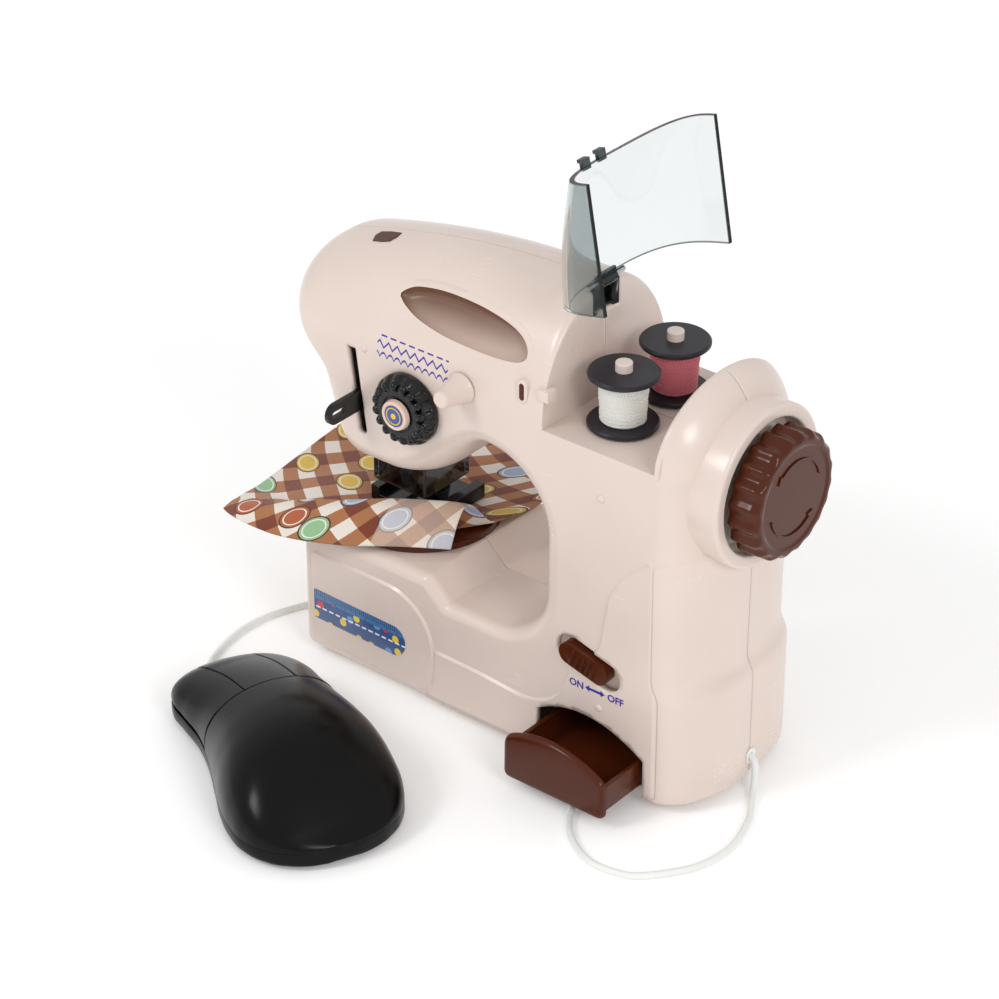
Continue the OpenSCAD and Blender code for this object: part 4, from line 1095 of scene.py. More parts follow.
    def outline(self) -> np.ndarray:
        """The whole outline: straight runs and cubic curves between the key points, evenly spaced.

        Returns:
            Rows of outer x, outer z, inner x, inner z and depth.
        """
        k = self.keys()
        spans = [
            ("deck_l", "wall_top", None), ("wall_top", "crown_r", (0, 1.4, 0, 0.1, 1.1, 0, 1, 0)),
            ("crown_r", "crown_m", None), ("crown_m", "nose_t", (-35, 0, -32, 1, 34, 9.6, 26, 0.5)),
            ("nose_t", "nose_l", (-7.4, -2.1, -3, -0.5, 0, 7.6, 0.5, 2.5)),
            ("nose_l", "head_l", (0, -9, 0, -4, -2.5, 15, -2, 7)), ("head_l", "head_b", None),
            ("head_b", "chin_l", (2, -8, 0.7, -4, -10, 0.5, -4, 0)), ("chin_l", "chin_r", None),
            ("chin_r", "under", (26, 0, 18, 0, -12, 0, -18, 0)),
            ("under", "throat_t", (14.4, 0, 19, 0, 0, 14.4, 0, 19)), ("throat_t", "throat_b", None),
            ("throat_b", "floor_r", (0, -12.2, 0, -14.5, 12.2, 0, 17, 0)), ("floor_r", "ramp_b", None),
            ("ramp_b", "ramp_t", None), ("ramp_t", "table_l", None),
            ("table_l", "left_t", (-1.7, 0, -1, 0, 0, 1.7, 0, 1)), ("left_t", "left_b", None),
            ("left_b", "bottom_l", (0, -1.7, 0, -1, -1.7, 0, -1, 0)), ("bottom_l", "bottom_r", None),
            ("bottom_r", "skirt_b", (1.7, 0, 1, 0, 0, -1.7, 0, -1)), ("skirt_b", "skirt_t", None),
            ("skirt_t", "end_b", (0, 5, 0, 4, -0.3, -6, 0, -5)), ("end_b", "end_t", None),
            ("end_t", "hump_r", (-3.5, 13, 0, 4, 4.6, -1.2, 0.3, -1.6)),
            ("hump_r", "hump_l", (-1.5, 0.1, 0, 0, 0, 1.5, 0, 0)), ("hump_l", "deck_r", None),
            ("deck_r", "deck_l", None)]
        lines = []
        for a, b, bend in spans:
            p, s = k[a], k[b]
            reach = max(np.linalg.norm((s - p)[:2]), np.linalg.norm((s - p)[2:4]))
            fine = 0.6 if a in ("crown_r", "crown_m") else 1.0
            n = max(4, int(math.ceil(reach * (1.15 if bend else 1) / (self.spacing * fine))))
            t = np.arange(n) / n
            if bend is None:
                lines.append(p + (s - p) * t[:, None])
            else:
                q, r = p + np.array([*bend[:4], 0]), s + np.array([*bend[4:], 0])
                lines.append(bezier(p, q, r, s, t))
        return np.concatenate(lines)

    def relief(self, x: np.ndarray, z: np.ndarray) -> np.ndarray:
        """Height of the front's raised panel and pad above the plain skin, at each x and z.

        Args:
            x: Places along.
            z: Heights.

        Returns:
            Height of the relief in millimetres.
        """
        points = np.stack([x, z], 1)
        line = through(self.panel, 2.0)
        region = np.vstack([line, [(130, 104), (130, -20), (-31.5, -20), (-29.8, 7), (-26.9, 12),
                                   (-25.7, 24.2)]])
        side = np.where(inside(points, region), 1, -1)
        lift = 0.9 * smoothstep(-0.45, 0.45, side * distance(points, region, True))
        pad = through(self.pad, 2.0, True)
        side = np.where(inside(points, pad), 1, -1)
        raised = 0.9 * smoothstep(-0.35, 0.55, side * distance(points, pad, True))
        return np.maximum(lift, raised)

    def on_skin(self, flat: np.ndarray) -> tuple[np.ndarray, np.ndarray]:
        """Place points of the front view on the rounded skin of the arm.

        Args:
            flat: x and z of each point, all above the arm's flat face.

        Returns:
            The points on the skin and the skin's outward directions there.
        """
        outline = self.outline()
        outline = outline[(outline[:, 1] > 155) & (outline[:, 0] < 25)]
        index = np.arange(len(outline), dtype=float)

        def skin(s: np.ndarray, a: np.ndarray) -> np.ndarray:
            """Skin point at an outline position and a turn.

            Args:
                s: Positions on the outline.
                a: Turns in radians.

            Returns:
                The points.
            """
            c = np.stack([np.interp(s, index, outline[:, k]) for k in range(5)], -1)
            across = c[..., 2:4] + (c[..., :2] - c[..., 2:4]) * np.sin(a)[..., None]
            y = c[..., 4] - self.half_depth - c[..., 4] * np.cos(a)
            return np.stack([across[..., 0], y, across[..., 1]], -1)

        rows, cols = np.meshgrid(index[::2], np.radians(np.linspace(4, 86, 42)), indexing="ij")
        known = skin(rows, cols)[..., [0, 2]].reshape(-1, 2)
        first = np.array([np.argmin(((known - q) ** 2).sum(1)) for q in flat])
        s, a = rows.ravel()[first], cols.ravel()[first]
        for _ in range(14):
            here = skin(s, a)[:, [0, 2]]
            ds = (skin(s + 0.5, a) - skin(s - 0.5, a))[:, [0, 2]]
            da = (skin(s, a + 0.005) - skin(s, a - 0.005))[:, [0, 2]] * 100
            miss = flat - here
            det = ds[:, 0] * da[:, 1] - ds[:, 1] * da[:, 0]
            s = s + np.clip((miss[:, 0] * da[:, 1] - miss[:, 1] * da[:, 0]) / det, -2, 2)
            a = a + np.clip((ds[:, 0] * miss[:, 1] - ds[:, 1] * miss[:, 0]) / det, -0.1, 0.1)
        out = np.cross(skin(s, a + 0.005) - skin(s, a - 0.005), skin(s + 0.5, a) - skin(s - 0.5, a))
        out /= np.linalg.norm(out, axis=1, keepdims=True)
        out *= np.where(out[:, 1:2] > 0, -1, 1)
        return skin(s, a), out

    def finger_scoop(self) -> None:
        """Sunk grip on the arm: a bowl that is deepest under its upper edge, and a thin lip round it."""
        loop = through(self.scoop, 1.1, True)
        n = len(loop)
        middle = np.array(self.scoop_middle)
        spine = middle + (loop - middle) * [0.62, 0.0] + [0, 0.2]
        shares = np.concatenate([np.linspace(0.02, 0.8, 14), np.linspace(0.84, 1.0, 9)])
        flat = spine[None] + (loop - spine)[None] * shares[:, None, None]
        skin, out = self.on_skin(flat.reshape(-1, 2))
        skin, out = skin.reshape(*flat.shape[:2], 3), out.reshape(*flat.shape[:2], 3)
        (low, rise), (least, more) = self.scoop_rise, self.scoop_depth
        upper = np.clip((flat[..., 1] - low) / rise, 0, 1)
        depth = (least + more * upper) * (1 - shares[:, None] ** 7) ** 0.75
        floor = skin - out * depth[..., None]
        rings = np.concatenate([floor, (floor - out * 1.2)[::-1]])
        # The bowl wears the grip's painted shade
        piece("scoop_bowl", [(rings, capped(len(rings), n))], self.finishes.tan, Body.HOUSING,
              [], 50.0)
        away = beside(ahead_of(loop))
        if ((loop + away - middle) ** 2).sum() < ((loop - away - middle) ** 2).sum():
            away = -away
        rims = []
        for reach, proud in ((0, -1.2), (0, 0.0), (0.25, 0.06), (1.0, 0.07), (1.9, 0.05), (2.1, -0.3),
                             (2.1, -1.2)):
            skin, out = self.on_skin(loop + away * reach)
            rims.append(skin + out * proud)
        faces = grid_faces(len(rims) + 1, n, True) % (len(rims) * n)
        piece("scoop_lip", [(np.array(rims), faces)], self.finishes.housing, Body.HOUSING,
              [], 50.0)

    def holes(self, front: bool) -> list[np.ndarray]:
        """Loops that are left open in the flat face of one half.

        Args:
            front: Whether it is the front half.

        Returns:
            The loops, in x and z.
        """
        if front:
            a = np.array([69.0, 19.5])
            arch = bezier(a, np.array([54, 29.0]), np.array([38, 32.0]), np.array([22, 22.0]),
                          np.linspace(0, 1, 40))
            drawer = np.vstack([[(22.0, -5.0), (69.0, -5.0)], arch])
            return [drawer, stadium((44.3, 50), (29 - 11.5) / 2, 11.5 / 2, -14.5),
                    stadium((-61.15, 125.4), 19.6, 2.0, 98.07)]
        screws = [(-82, 42), (6, 30), (66, 38), (34, 104), (6, 131), (-73, 131)]
        vents = [stadium((48 + 5 * k, 75), 9, 1.1, 90, 8) for k in range(4)]
        return [stadium(c, 0, 3.2, 0, 16) for c in screws] + vents

    def face(self, outline: np.ndarray, front: bool) -> Part:
        """Flat face of one half, triangulated over its edge, its holes and the lines of its relief.

        Args:
            outline: The outline points.
            front: Whether it is the front half.

        Returns:
            Points and triangles, with the relief in the points.
        """
        edge = outline[:, 2:4]
        holes = self.holes(front)
        lines: list[tuple[np.ndarray, bool]] = [(edge, True)] + [(h, True) for h in holes]
        if front:
            step, pad = through(self.panel, 1.5), through(self.pad, 1.5, True)
            step = step[step[:, 0] < 70]
            for line, closed, offsets in ((step, False, (-0.45, 0.45)), (pad, True, (-0.55, 0.35))):
                normal = beside(np.gradient(line, axis=0))
                lines += [(line + normal * o, closed) for o in offsets]
        low, high = edge.min(0), edge.max(0)
        xs, zs = np.meshgrid(np.arange(low[0], high[0], 1.7), np.arange(low[1], high[1], 1.7))
        field_points = np.stack([xs.ravel(), zs.ravel()], 1)
        field_points = field_points[inside(field_points, edge)]
        near = np.min([distance(field_points, line, closed) for line, closed in lines], 0)
        field_points = field_points[near > 0.8]
        points, edges = [field_points], []
        count = len(field_points)
        for line, closed in lines:
            n = len(line)
            ids = np.arange(n) + count
            pair = np.stack([ids, np.roll(ids, -1)], 1)
            edges.append(pair if closed else pair[:-1])
            points.append(line)
            count += n
        made = delaunay_2d_cdt([Vector(p) for p in np.concatenate(points).tolist()],
                               np.concatenate(edges).tolist(), [], 0, 1e-6, False)
        flat = np.array([v[:] for v in made[0]])
        faces = np.array([f for f in made[2] if len(f) == 3])
        centre = flat[faces].mean(1)
        keep = inside(centre, edge)
        for hole in holes:
            keep &= ~inside(centre, hole)
        faces = faces[keep]
        a, b, c = flat[faces[:, 0]], flat[faces[:, 1]], flat[faces[:, 2]]
        turned = (b - a)[:, 0] * (c - a)[:, 1] - (b - a)[:, 1] * (c - a)[:, 0] < 0
        faces[turned] = faces[turned][:, ::-1]
        lift = self.relief(flat[:, 0], flat[:, 1]) if front else 0
        y = np.full(len(flat), -self.half_depth) - lift
        return np.stack([flat[:, 0], y, flat[:, 1]], 1), faces

    def wrap(self, outline: np.ndarray, front: bool) -> Part:
        """Rounded sides of one half, from the flat face to the seam, with the openings left out.

        Args:
            outline: The outline points.
            front: Whether it is the front half.

        Returns:
            Points and quads.
        """
        a = np.radians(np.linspace(0, 90, self.rings))[:, None]
        o, i, b = outline[None, :, :2], outline[None, :, 2:4], outline[None, :, 4]
        across = i + (o - i) * np.sin(a)[..., None]
        y = b - self.half_depth - b * np.cos(a)
        normal = beside(ahead_of(outline[:, :2]))
        lip = np.stack([outline[:, 0], np.full(len(outline), -0.5), outline[:, 1]], 1)
        groove = outline[:, :2] + normal * self.seam
        groove = np.stack([groove[:, 0], np.zeros(len(outline)), groove[:, 1]], 1)
        skin = np.stack([across[..., 0], y, across[..., 1]], -1)
        if front:
            along = np.roll(skin, -1, 1) - np.roll(skin, 1, 1)
            back = np.gradient(skin, axis=0)
            out = np.cross(back, along)
            out /= np.maximum(np.linalg.norm(out, axis=-1, keepdims=True), 1e-9)
            x, z = skin[..., 0].ravel(), skin[..., 2].ravel()
            height = self.relief(x, z).reshape(skin.shape[:2])
            height *= smoothstep(-0.5, -3.0, skin[..., 1]) * (skin[..., 2] > self.foot_h + 0.3)
            skin = skin + out * height[..., None]
        points = np.concatenate([skin, lip[None], groove[None]])
        rows, cols = points.shape[:2]
        quads = grid_faces(rows, cols, True, True)
        flat = points.reshape(-1, 3)
        mid = flat[quads].mean(1)
        x, y, z = mid.T
        aside = np.abs(y)
        # Openings for the needle, the cover's hinge, the wheel's shaft, the cord and the battery door
        gone = (np.abs(x - self.needle_x) < 12.9) & (aside < 12.9) & (z > 80) & (z < 96)
        gone |= (x > 18.2) & (x < 27) & (aside < 7) & (z > self.crown_z - 11)
        gone |= (x > 75) & (np.hypot(y, z - self.shaft_z) < 5)
        gone |= (x > 75) & (np.hypot(y, z - 12) < 2.6)
        gone |= (x > -76) & (x < -22) & (aside < 26) & (z < 6)
        if front:
            # Openings for the drawer and the sunk grip
            gone |= (x > 22) & (x < 69) & (y < -31.5) & (z < 12)
            loop, front_view = through(self.scoop, 1.1, True), mid[:, [0, 2]]
            sunk = inside(front_view, loop) | (distance(front_view, loop, True) < 0.9)
            gone |= sunk & (y < -15) & (z > 150)
        return flat, quads[~gone]

    def half(self, front: bool) -> bpy.types.Object:
        """One moulded half, given its wall thickness inwards.

        Args:
            front: Whether it is the front half.

        Returns:
            The half.
        """
        outline = self.outline()
        parts = [self.face(outline, front), self.wrap(outline, front)]
        if not front:
            parts = [(p * [1, -1, 1], np.asarray(f)[:, ::-1]) for p, f in parts]
        name = "front_housing" if front else "rear_housing"
        obj = piece(name, parts, self.finishes.housing, Body.HOUSING,
                    ["front_shell" if front else "rear_shell"], 40.0, recalc=False)
        thicken(obj, self.wall)
        return obj

    def collar(self) -> None:
        """Ring that stands round the handwheel, with rounded lips."""
        (bore, rim), h = self.collar_radii, self.collar_h
        ring = rounded_profile([(bore, 0), (bore, h), (rim, h), (rim, 0), (bore, 0)], [1.2, 1.6, 0.1], 7)
        points, faces = revolve(ring, 120)
        piece("wheel_collar", [(turn_to_x(points, self.collar_x, self.shaft_z), faces)],
              self.finishes.housing, Body.HOUSING)

    def trim(self) -> None:
        """Small moulded marks: bumps, the clip with its slot, a brown plate of painted shade for the thread
        notch, and the hinge's recess.
        """
        dome = np.stack([1.5 * np.sin(np.linspace(0, np.pi / 2, 8)),
                         0.8 * np.cos(np.linspace(0, np.pi / 2, 8))], 1)
        dome = np.vstack([dome, [(1.5, -1.0), (0, -1.0)]])
        bumps = []
        for x, z, y in ((-56.9, 138.7, -34.4), (48.2, 117.7, -34.7), (49.4, 33.6, -35.4)):
            points, faces = revolve(dome, 24)
            bumps.append((turn_to_front(points, x, y, z), faces))
        piece("housing_bumps", bumps, self.finishes.housing, Body.HOUSING)
        frame_out, frame_in = stadium((13.8, 146.6), 2.6, 2.0, 90), stadium((13.8, 146.6), 2.2, 1.1, 90)
        piece("clip_slot_frame", prism(frame_out, -32.0, -34.75, 0.5), self.finishes.housing, Body.HOUSING)
        piece("clip_slot", prism(frame_in, -33.5, -34.85, 0.2), self.finishes.brown, Body.HOUSING)
        clip = np.array([(20.4, 145.6), (24.9, 145.6), (24.9, 149.9), (20.4, 149.9)])
        piece("catch_clip", prism(clip, -30.0, -34.6, 0.5), self.finishes.housing, Body.HOUSING)
        # The thread notch is no opening: a thin brown plate on the skin is painted shade for its shaded
        # inside
        notch = np.array([(-73.4, -10.2, 166.0), (-74.9, -6.9, 166.3), (-74.4, -4.2, 166.8),
                          (-70.2, -3.6, 167.9), (-65.4, -3.8, 169.0), (-65.0, -6.9, 168.7),
                          (-66.0, -9.6, 167.9), (-69.5, -10.3, 166.8)])
        lift = np.array([-0.08, -0.08, 0.32])
        n = len(notch)
        faces = [list(range(n)), list(range(n, 2 * n))[::-1]] + grid_faces(2, n, True).tolist()
        top, low = notch + lift, notch - 4 * lift
        piece("notch_shade_plate", [(np.vstack([top, low]), faces)], self.finishes.brown, Body.HOUSING)
        box = np.array([(x, y, z) for x in (16.4, 22.4) for y in (-7.4, 7.4) for z in (166.4, 176.6)])
        walls = [[0, 1, 3, 2], [0, 4, 5, 1], [2, 3, 7, 6], [0, 2, 6, 4]]
        liner = piece("hinge_recess", [(box, walls)], self.finishes.black, Body.HOUSING,
                      recalc=False)
        thicken(liner, 0.8)

    def build(self) -> None:
        """Both halves and their marks."""
        self.half(True)
        self.half(False)
        self.finger_scoop()
        self.collar()
        self.trim()


@dataclass
class Cord:
    """The pedal's cord: leaves the right end of the base, lies in a loop, and runs under it to the pedal."""

    finishes: Finishes
    diameter: float = 2.5
    route: list = field(default_factory=lambda: [
        (84, 0, 12), (90, 0, 12), (92.2, -0.6, 10), (93.8, -2.6, 5.5), (95.6, -6, 2.2), (99, -11.5, 1.3),
        (102.8, -18, 1.3), (106, -27, 1.3), (107.9, -36.5, 1.3), (107, -47, 1.3), (103.4, -56, 1.3),
        (95, -67, 1.3), (88, -71.6, 1.3), (76, -73, 1.3), (65, -68.3, 1.3), (56.5, -60.5, 1.3),
        (51, -51, 1.3), (45, -38, 1.3), (28, -19, 1.3), (0, -13, 1.3), (-30, -7, 1.3), (-60, -2, 1.3),
        (-85, -1, 1.3), (-100, -5, 1.3), (-108, -14, 1.3), (-113.5, -29, 1.3), (-114.6, -44, 1.3),
        (-111, -61, 1.3), (-105, -71, 2.5), (-99, -76.6, 4.6), (-93, -79.4, 5.4), (-90, -80.74, 5.4)])

    def build(self) -> bpy.types.Object:
        """Carry a circle along the route, on a frame of the route's side and up directions.

        Returns:
            The cord.
        """
        line = through(self.route, 1.6)
        ahead = np.gradient(line, axis=0)
        ahead /= np.linalg.norm(ahead, axis=1, keepdims=True)
        side = np.cross(ahead, [0, 0, 1])
        side /= np.linalg.norm(side, axis=1, keepdims=True)
        up = np.cross(side, ahead)
        n = 14
        a = np.linspace(0, 2 * np.pi, n, endpoint=False)
        r = self.diameter / 2
        cos, sin = np.cos(a)[None, :, None], np.sin(a)[None, :, None]
        points = line[:, None] + r * (side[:, None] * cos + up[:, None] * sin)
        run = run_along(line)
        uv = np.stack([np.tile(a / (2 * np.pi), len(line)), np.repeat(run, n)], 1)
        obj = piece("pedal_lead", [(points, capped(len(line), n))], self.finishes.cord, Body.HOUSING,
                    ["pedal_cord"], uv=uv)
        (line * MM).tolist()
        return obj


def thick_patch(outer: np.ndarray, inner: np.ndarray) -> Part:
    """Closed shell between two grids of the same shape, with a rim all round.

    Args:
        outer: Outer grid of points, rows by columns by three.
        inner: Inner grid of the same shape.

    Returns:
        Points and faces.
    """
    rows, cols = outer.shape[:2]
    n = rows * cols
    ids = np.arange(n).reshape(rows, cols)
    loop = np.concatenate([ids[0, :-1], ids[:-1, -1], ids[-1, :0:-1], ids[:0:-1, 0]])
    ahead = np.roll(loop, -1)
    rim = np.stack([loop, ahead, ahead + n, loop + n], 1)
    faces = np.vstack([grid_faces(rows, cols), grid_faces(rows, cols, flip=True) + n, rim])
    return np.concatenate([outer.reshape(-1, 3), inner.reshape(-1, 3)]), faces


def table_curve(pairs: Sequence[Sequence[float]], u: np.ndarray) -> np.ndarray:
    """Smooth value at u through listed pairs, by cubics whose slopes are the table's own.

    Args:
        pairs: Places and values.
        u: Places wanted.

    Returns:
        Values there.
    """
    p = np.asarray(pairs, float)
    slope = np.gradient(p[:, 1], p[:, 0])
    k = np.clip(np.searchsorted(p[:, 0], u, "right") - 1, 0, len(p) - 2)
    h = p[k + 1, 0] - p[k, 0]
    t = np.clip((u - p[k, 0]) / h, 0, 1)
    a, b = p[k, 1], p[k + 1, 1]
    return ((2 * t ** 3 - 3 * t ** 2 + 1) * a + (t ** 3 - 2 * t ** 2 + t) * h * slope[k]
            + (3 * t ** 2 - 2 * t ** 3) * b + (t ** 3 - t ** 2) * h * slope[k + 1])


@dataclass
class TensionDial:
    """Black dial on the head: a notched rim with a ring of beads, and a capped centre.

    A bead is given by its radius, and the ring by the radius on which the beads stand.
    """

    finishes: Finishes
    x: float = -36.1
    z: float = 123.0
    back: float = -35.1
    radius: float = 13.5
    lobes: int = 16
    bead: float = 1.75
    bead_ring: float = 10.4

    def shape(self, r: np.ndarray, h: np.ndarray, a: np.ndarray) -> tuple[np.ndarray, np.ndarray]:
        """Notches cut into the rim between the lobes, and half-round beads on the front bevel.

        Args:
            r: Radii.
            h: Heights.
            a: Turns in radians.

        Returns:
            Changed radii and heights.
        """
        wave = 0.5 + 0.5 * np.cos(self.lobes * a)
        rim = smoothstep(9.2, 12.0, r) * smoothstep(1.6, 3.4, h)
        step = 2 * np.pi / self.lobes
        off = (a + step / 2) % step - step / 2
        off = off - step / 2 * np.sign(off)
        reach = (r - self.bead_ring) ** 2 + (self.bead_ring * off) ** 2
        bead = np.sqrt(np.clip(1 - reach / self.bead ** 2, 0, 1)) * (h > 2.5)
        return r - 0.8 * rim * wave ** 2 + 0.35 * bead, h + 1.0 * bead

    def turned(self, *shapes: Part) -> list[Part]:
        """Set turned shapes on the dial's axis."""
        return [(turn_to_front(points, self.x, self.back, self.z), faces) for points, faces in shapes]

    def build(self) -> None:
        """Dial body, cap, cap disc and index mark."""
        f, r = self.finishes, self.radius
        edge = [(0, 0), (r, 0), (r, 2.8), (11.9, 5.4), (9.0, 6.5), (6.9, 6.5), (6.5, 6.1), (0, 6.1)]
        profile = evenly(rounded_profile(edge, [0.4, 1.0, 2.0, 1.0, 0.3, 0.3], 8), 0.3)
        piece("dial_body", self.turned(revolve(profile, self.lobes * 18, self.shape)), f.black, Body.DIAL,
              ["tension_dial"], 50.0)
        cap = rounded_profile([(0, 6.4), (5.8, 6.4), (5.4, 8.5), (4.5, 8.5), (4.3, 8.3), (0, 8.3)],
                              [0.2, 0.5, 0.1, 0.1])
        piece("dial_button", self.turned(revolve(cap, 72)), f.cap, Body.DIAL, ["dial_cap"])
        disc = rounded_profile([(0, 8.1), (4.1, 8.1), (4.1, 8.45), (0, 8.45)], [0.05, 0.1])
        piece("dial_disc", self.turned(revolve(disc, 64)), f.cap_blue, Body.DIAL)
        dot = rounded_profile([(0, 8.3), (1.1, 8.3), (1.1, 8.6), (0, 8.6)], [0.05, 0.1])
        ring = rounded_profile([(2.9, 8.3), (3.3, 8.3), (3.3, 8.55), (2.9, 8.55), (2.9, 8.3)],
                               [0.05, 0.05, 0.05])
        piece("dial_mark", self.turned(revolve(dot, 32), revolve(ring, 64)), f.cap_gold, Body.DIAL)


@dataclass
class Handwheel:
    """Brown handwheel with rounded flutes and two raised turning arrows.

    The arrow's band is given by its two radii, and its head by those of inner barb, point and outer barb.
    """

    finishes: Finishes
    x: float = 91.7
    z: float = 123.0
    radius: float = 23.3
    width: float = 12.0
    flutes: int = 20
    arrow_band: tuple[float, float] = (13.6, 14.2)
    arrow_head: tuple[float, float, float] = (12.2, 13.9, 15.4)

    def shape(self, r: np.ndarray, h: np.ndarray, a: np.ndarray) -> tuple[np.ndarray, np.ndarray]:
        """Flutes sunk into the rim, running out before the face.

        Args:
            r: Radii.
            h: Heights.
            a: Turns in radians.

        Returns:
            Changed radii and heights.
        """
        wave = (0.5 + 0.5 * np.cos(self.flutes * a)) ** 0.8
        rim = smoothstep(18.5, 22.4, r) * (1 - 0.55 * smoothstep(9.5, 12.0, h))
        return r - 1.3 * rim * wave, h

    def arrow(self, start: float) -> list[Part]:
        """Curved band with a pointed end, raised from the face.

        Args:
            start: Turn of its tail in degrees.

        Returns:
            The arrow.
        """
        a = np.radians(np.linspace(start, start + 112, 44))
        tip = np.radians(start + 124)
        (inner, outer), (barb_in, point, barb_out) = self.arrow_band, self.arrow_head
        band = np.vstack([circle(outer, a), circle(barb_out, a[-1]), circle(point, tip),
                          circle(barb_in, a[-1]), circle(inner, a[::-1])])
        face = self.x + self.width - 0.6
        return [(np.stack([face - p[:, 1], p[:, 0], p[:, 2] + self.z], 1), f)
                for p, f in prism(band, 0.4, -0.5)]

    def build(self) -> None:
        """Wheel with its hub, and the arrows."""
        w, r = self.width, self.radius
        edge = [(0, -3), (5, -3), (5, 0), (r - 0.4, 0), (r, 0.5), (r, w - 2.4), (r - 1.8, w - 0.2),
                (r - 4.4, w - 0.2), (r - 4.9, w - 0.7), (0, w - 0.6)]
        profile = evenly(rounded_profile(edge, [0.2, 0.2, 0.3, 0.3, 1.4, 1.2, 0.4, 0.4], 8), 0.55)
        points, faces = revolve(profile, self.flutes * 16, self.shape)
        piece("hand_wheel", [(turn_to_x(points, self.x, self.z), faces)], self.finishes.brown, Body.DRIVE,
              ["handwheel"], 50.0)
        piece("wheel_arrows", self.arrow(15) + self.arrow(195), self.finishes.brown, Body.DRIVE)


@dataclass
class ThreadBundle:
    """Thread wound on a spool: one strand in close turns over a core that widens upwards.

    The core is given by its bore and by its radius at the foot and at the top.
    """

    finishes: Finishes
    name: str
    y: float
    body: Body
    pink: bool
    replaced: tuple[str, str]
    x: float = 41.5
    low: float = 137.5
    high: float = 153.9
    strand: float = 0.3
    pitch: float = 0.56
    radius: float = 7.7
    widening: float = 0.9
    core: tuple[float, float, float] = (5.6, 7.6, 8.5)

    def build(self) -> None:
        """Carry a small circle along a helix whose radius grows and trembles a little with height."""
        turns = int((self.high - self.low - 2 * self.strand) / self.pitch)
        k = np.linspace(0, turns, turns * 44 + 1)
        a = 2 * np.pi * k
        height = self.low + self.strand + (self.high - self.low - 2 * self.strand) * k / turns
        share = (height - self.low) / (self.high - self.low)
        radius = self.radius + self.widening * share ** 1.4 + 0.12 * np.sin(k * 2.39) + 0.08 * np.sin(k * 5.7)
        line = np.stack([self.x + radius * np.cos(a), self.y + radius * np.sin(a), height], 1)
        out = np.stack([np.cos(a), np.sin(a), np.zeros_like(a)], 1)
        up = np.array([0, 0, 1.0])
        n = 6
        t = np.linspace(0, 2 * np.pi, n, endpoint=False)
        ring = self.strand * (out[:, None] * np.cos(t)[None, :, None] + up * np.sin(t)[None, :, None])
        run = run_along(line)
        bore, foot, crown = self.core
        corners = [(bore, self.low), (foot, self.low), (crown, self.high), (bore, self.high),
                   (bore, self.low)]
        core_points, core_faces = revolve(rounded_profile(corners, [0.2, 0.2, 0.1]), 64)
        core_points = core_points + [self.x, self.y, 0]
        strand_points = (line[:, None] + ring).reshape(-1, 3)
        uv = np.vstack([np.stack([np.tile(t / (2 * np.pi), len(k)), np.repeat(run, n)], 1),
                        np.stack([core_points[:, 2] * 0, core_points[:, 2] * 5], 1)])
        material = self.finishes.pink_thread if self.pink else self.finishes.white_thread
        piece(self.name, [(strand_points, capped(len(k), n)), (core_points, core_faces)], material, self.body,
              list(self.replaced), 60.0, uv=uv)


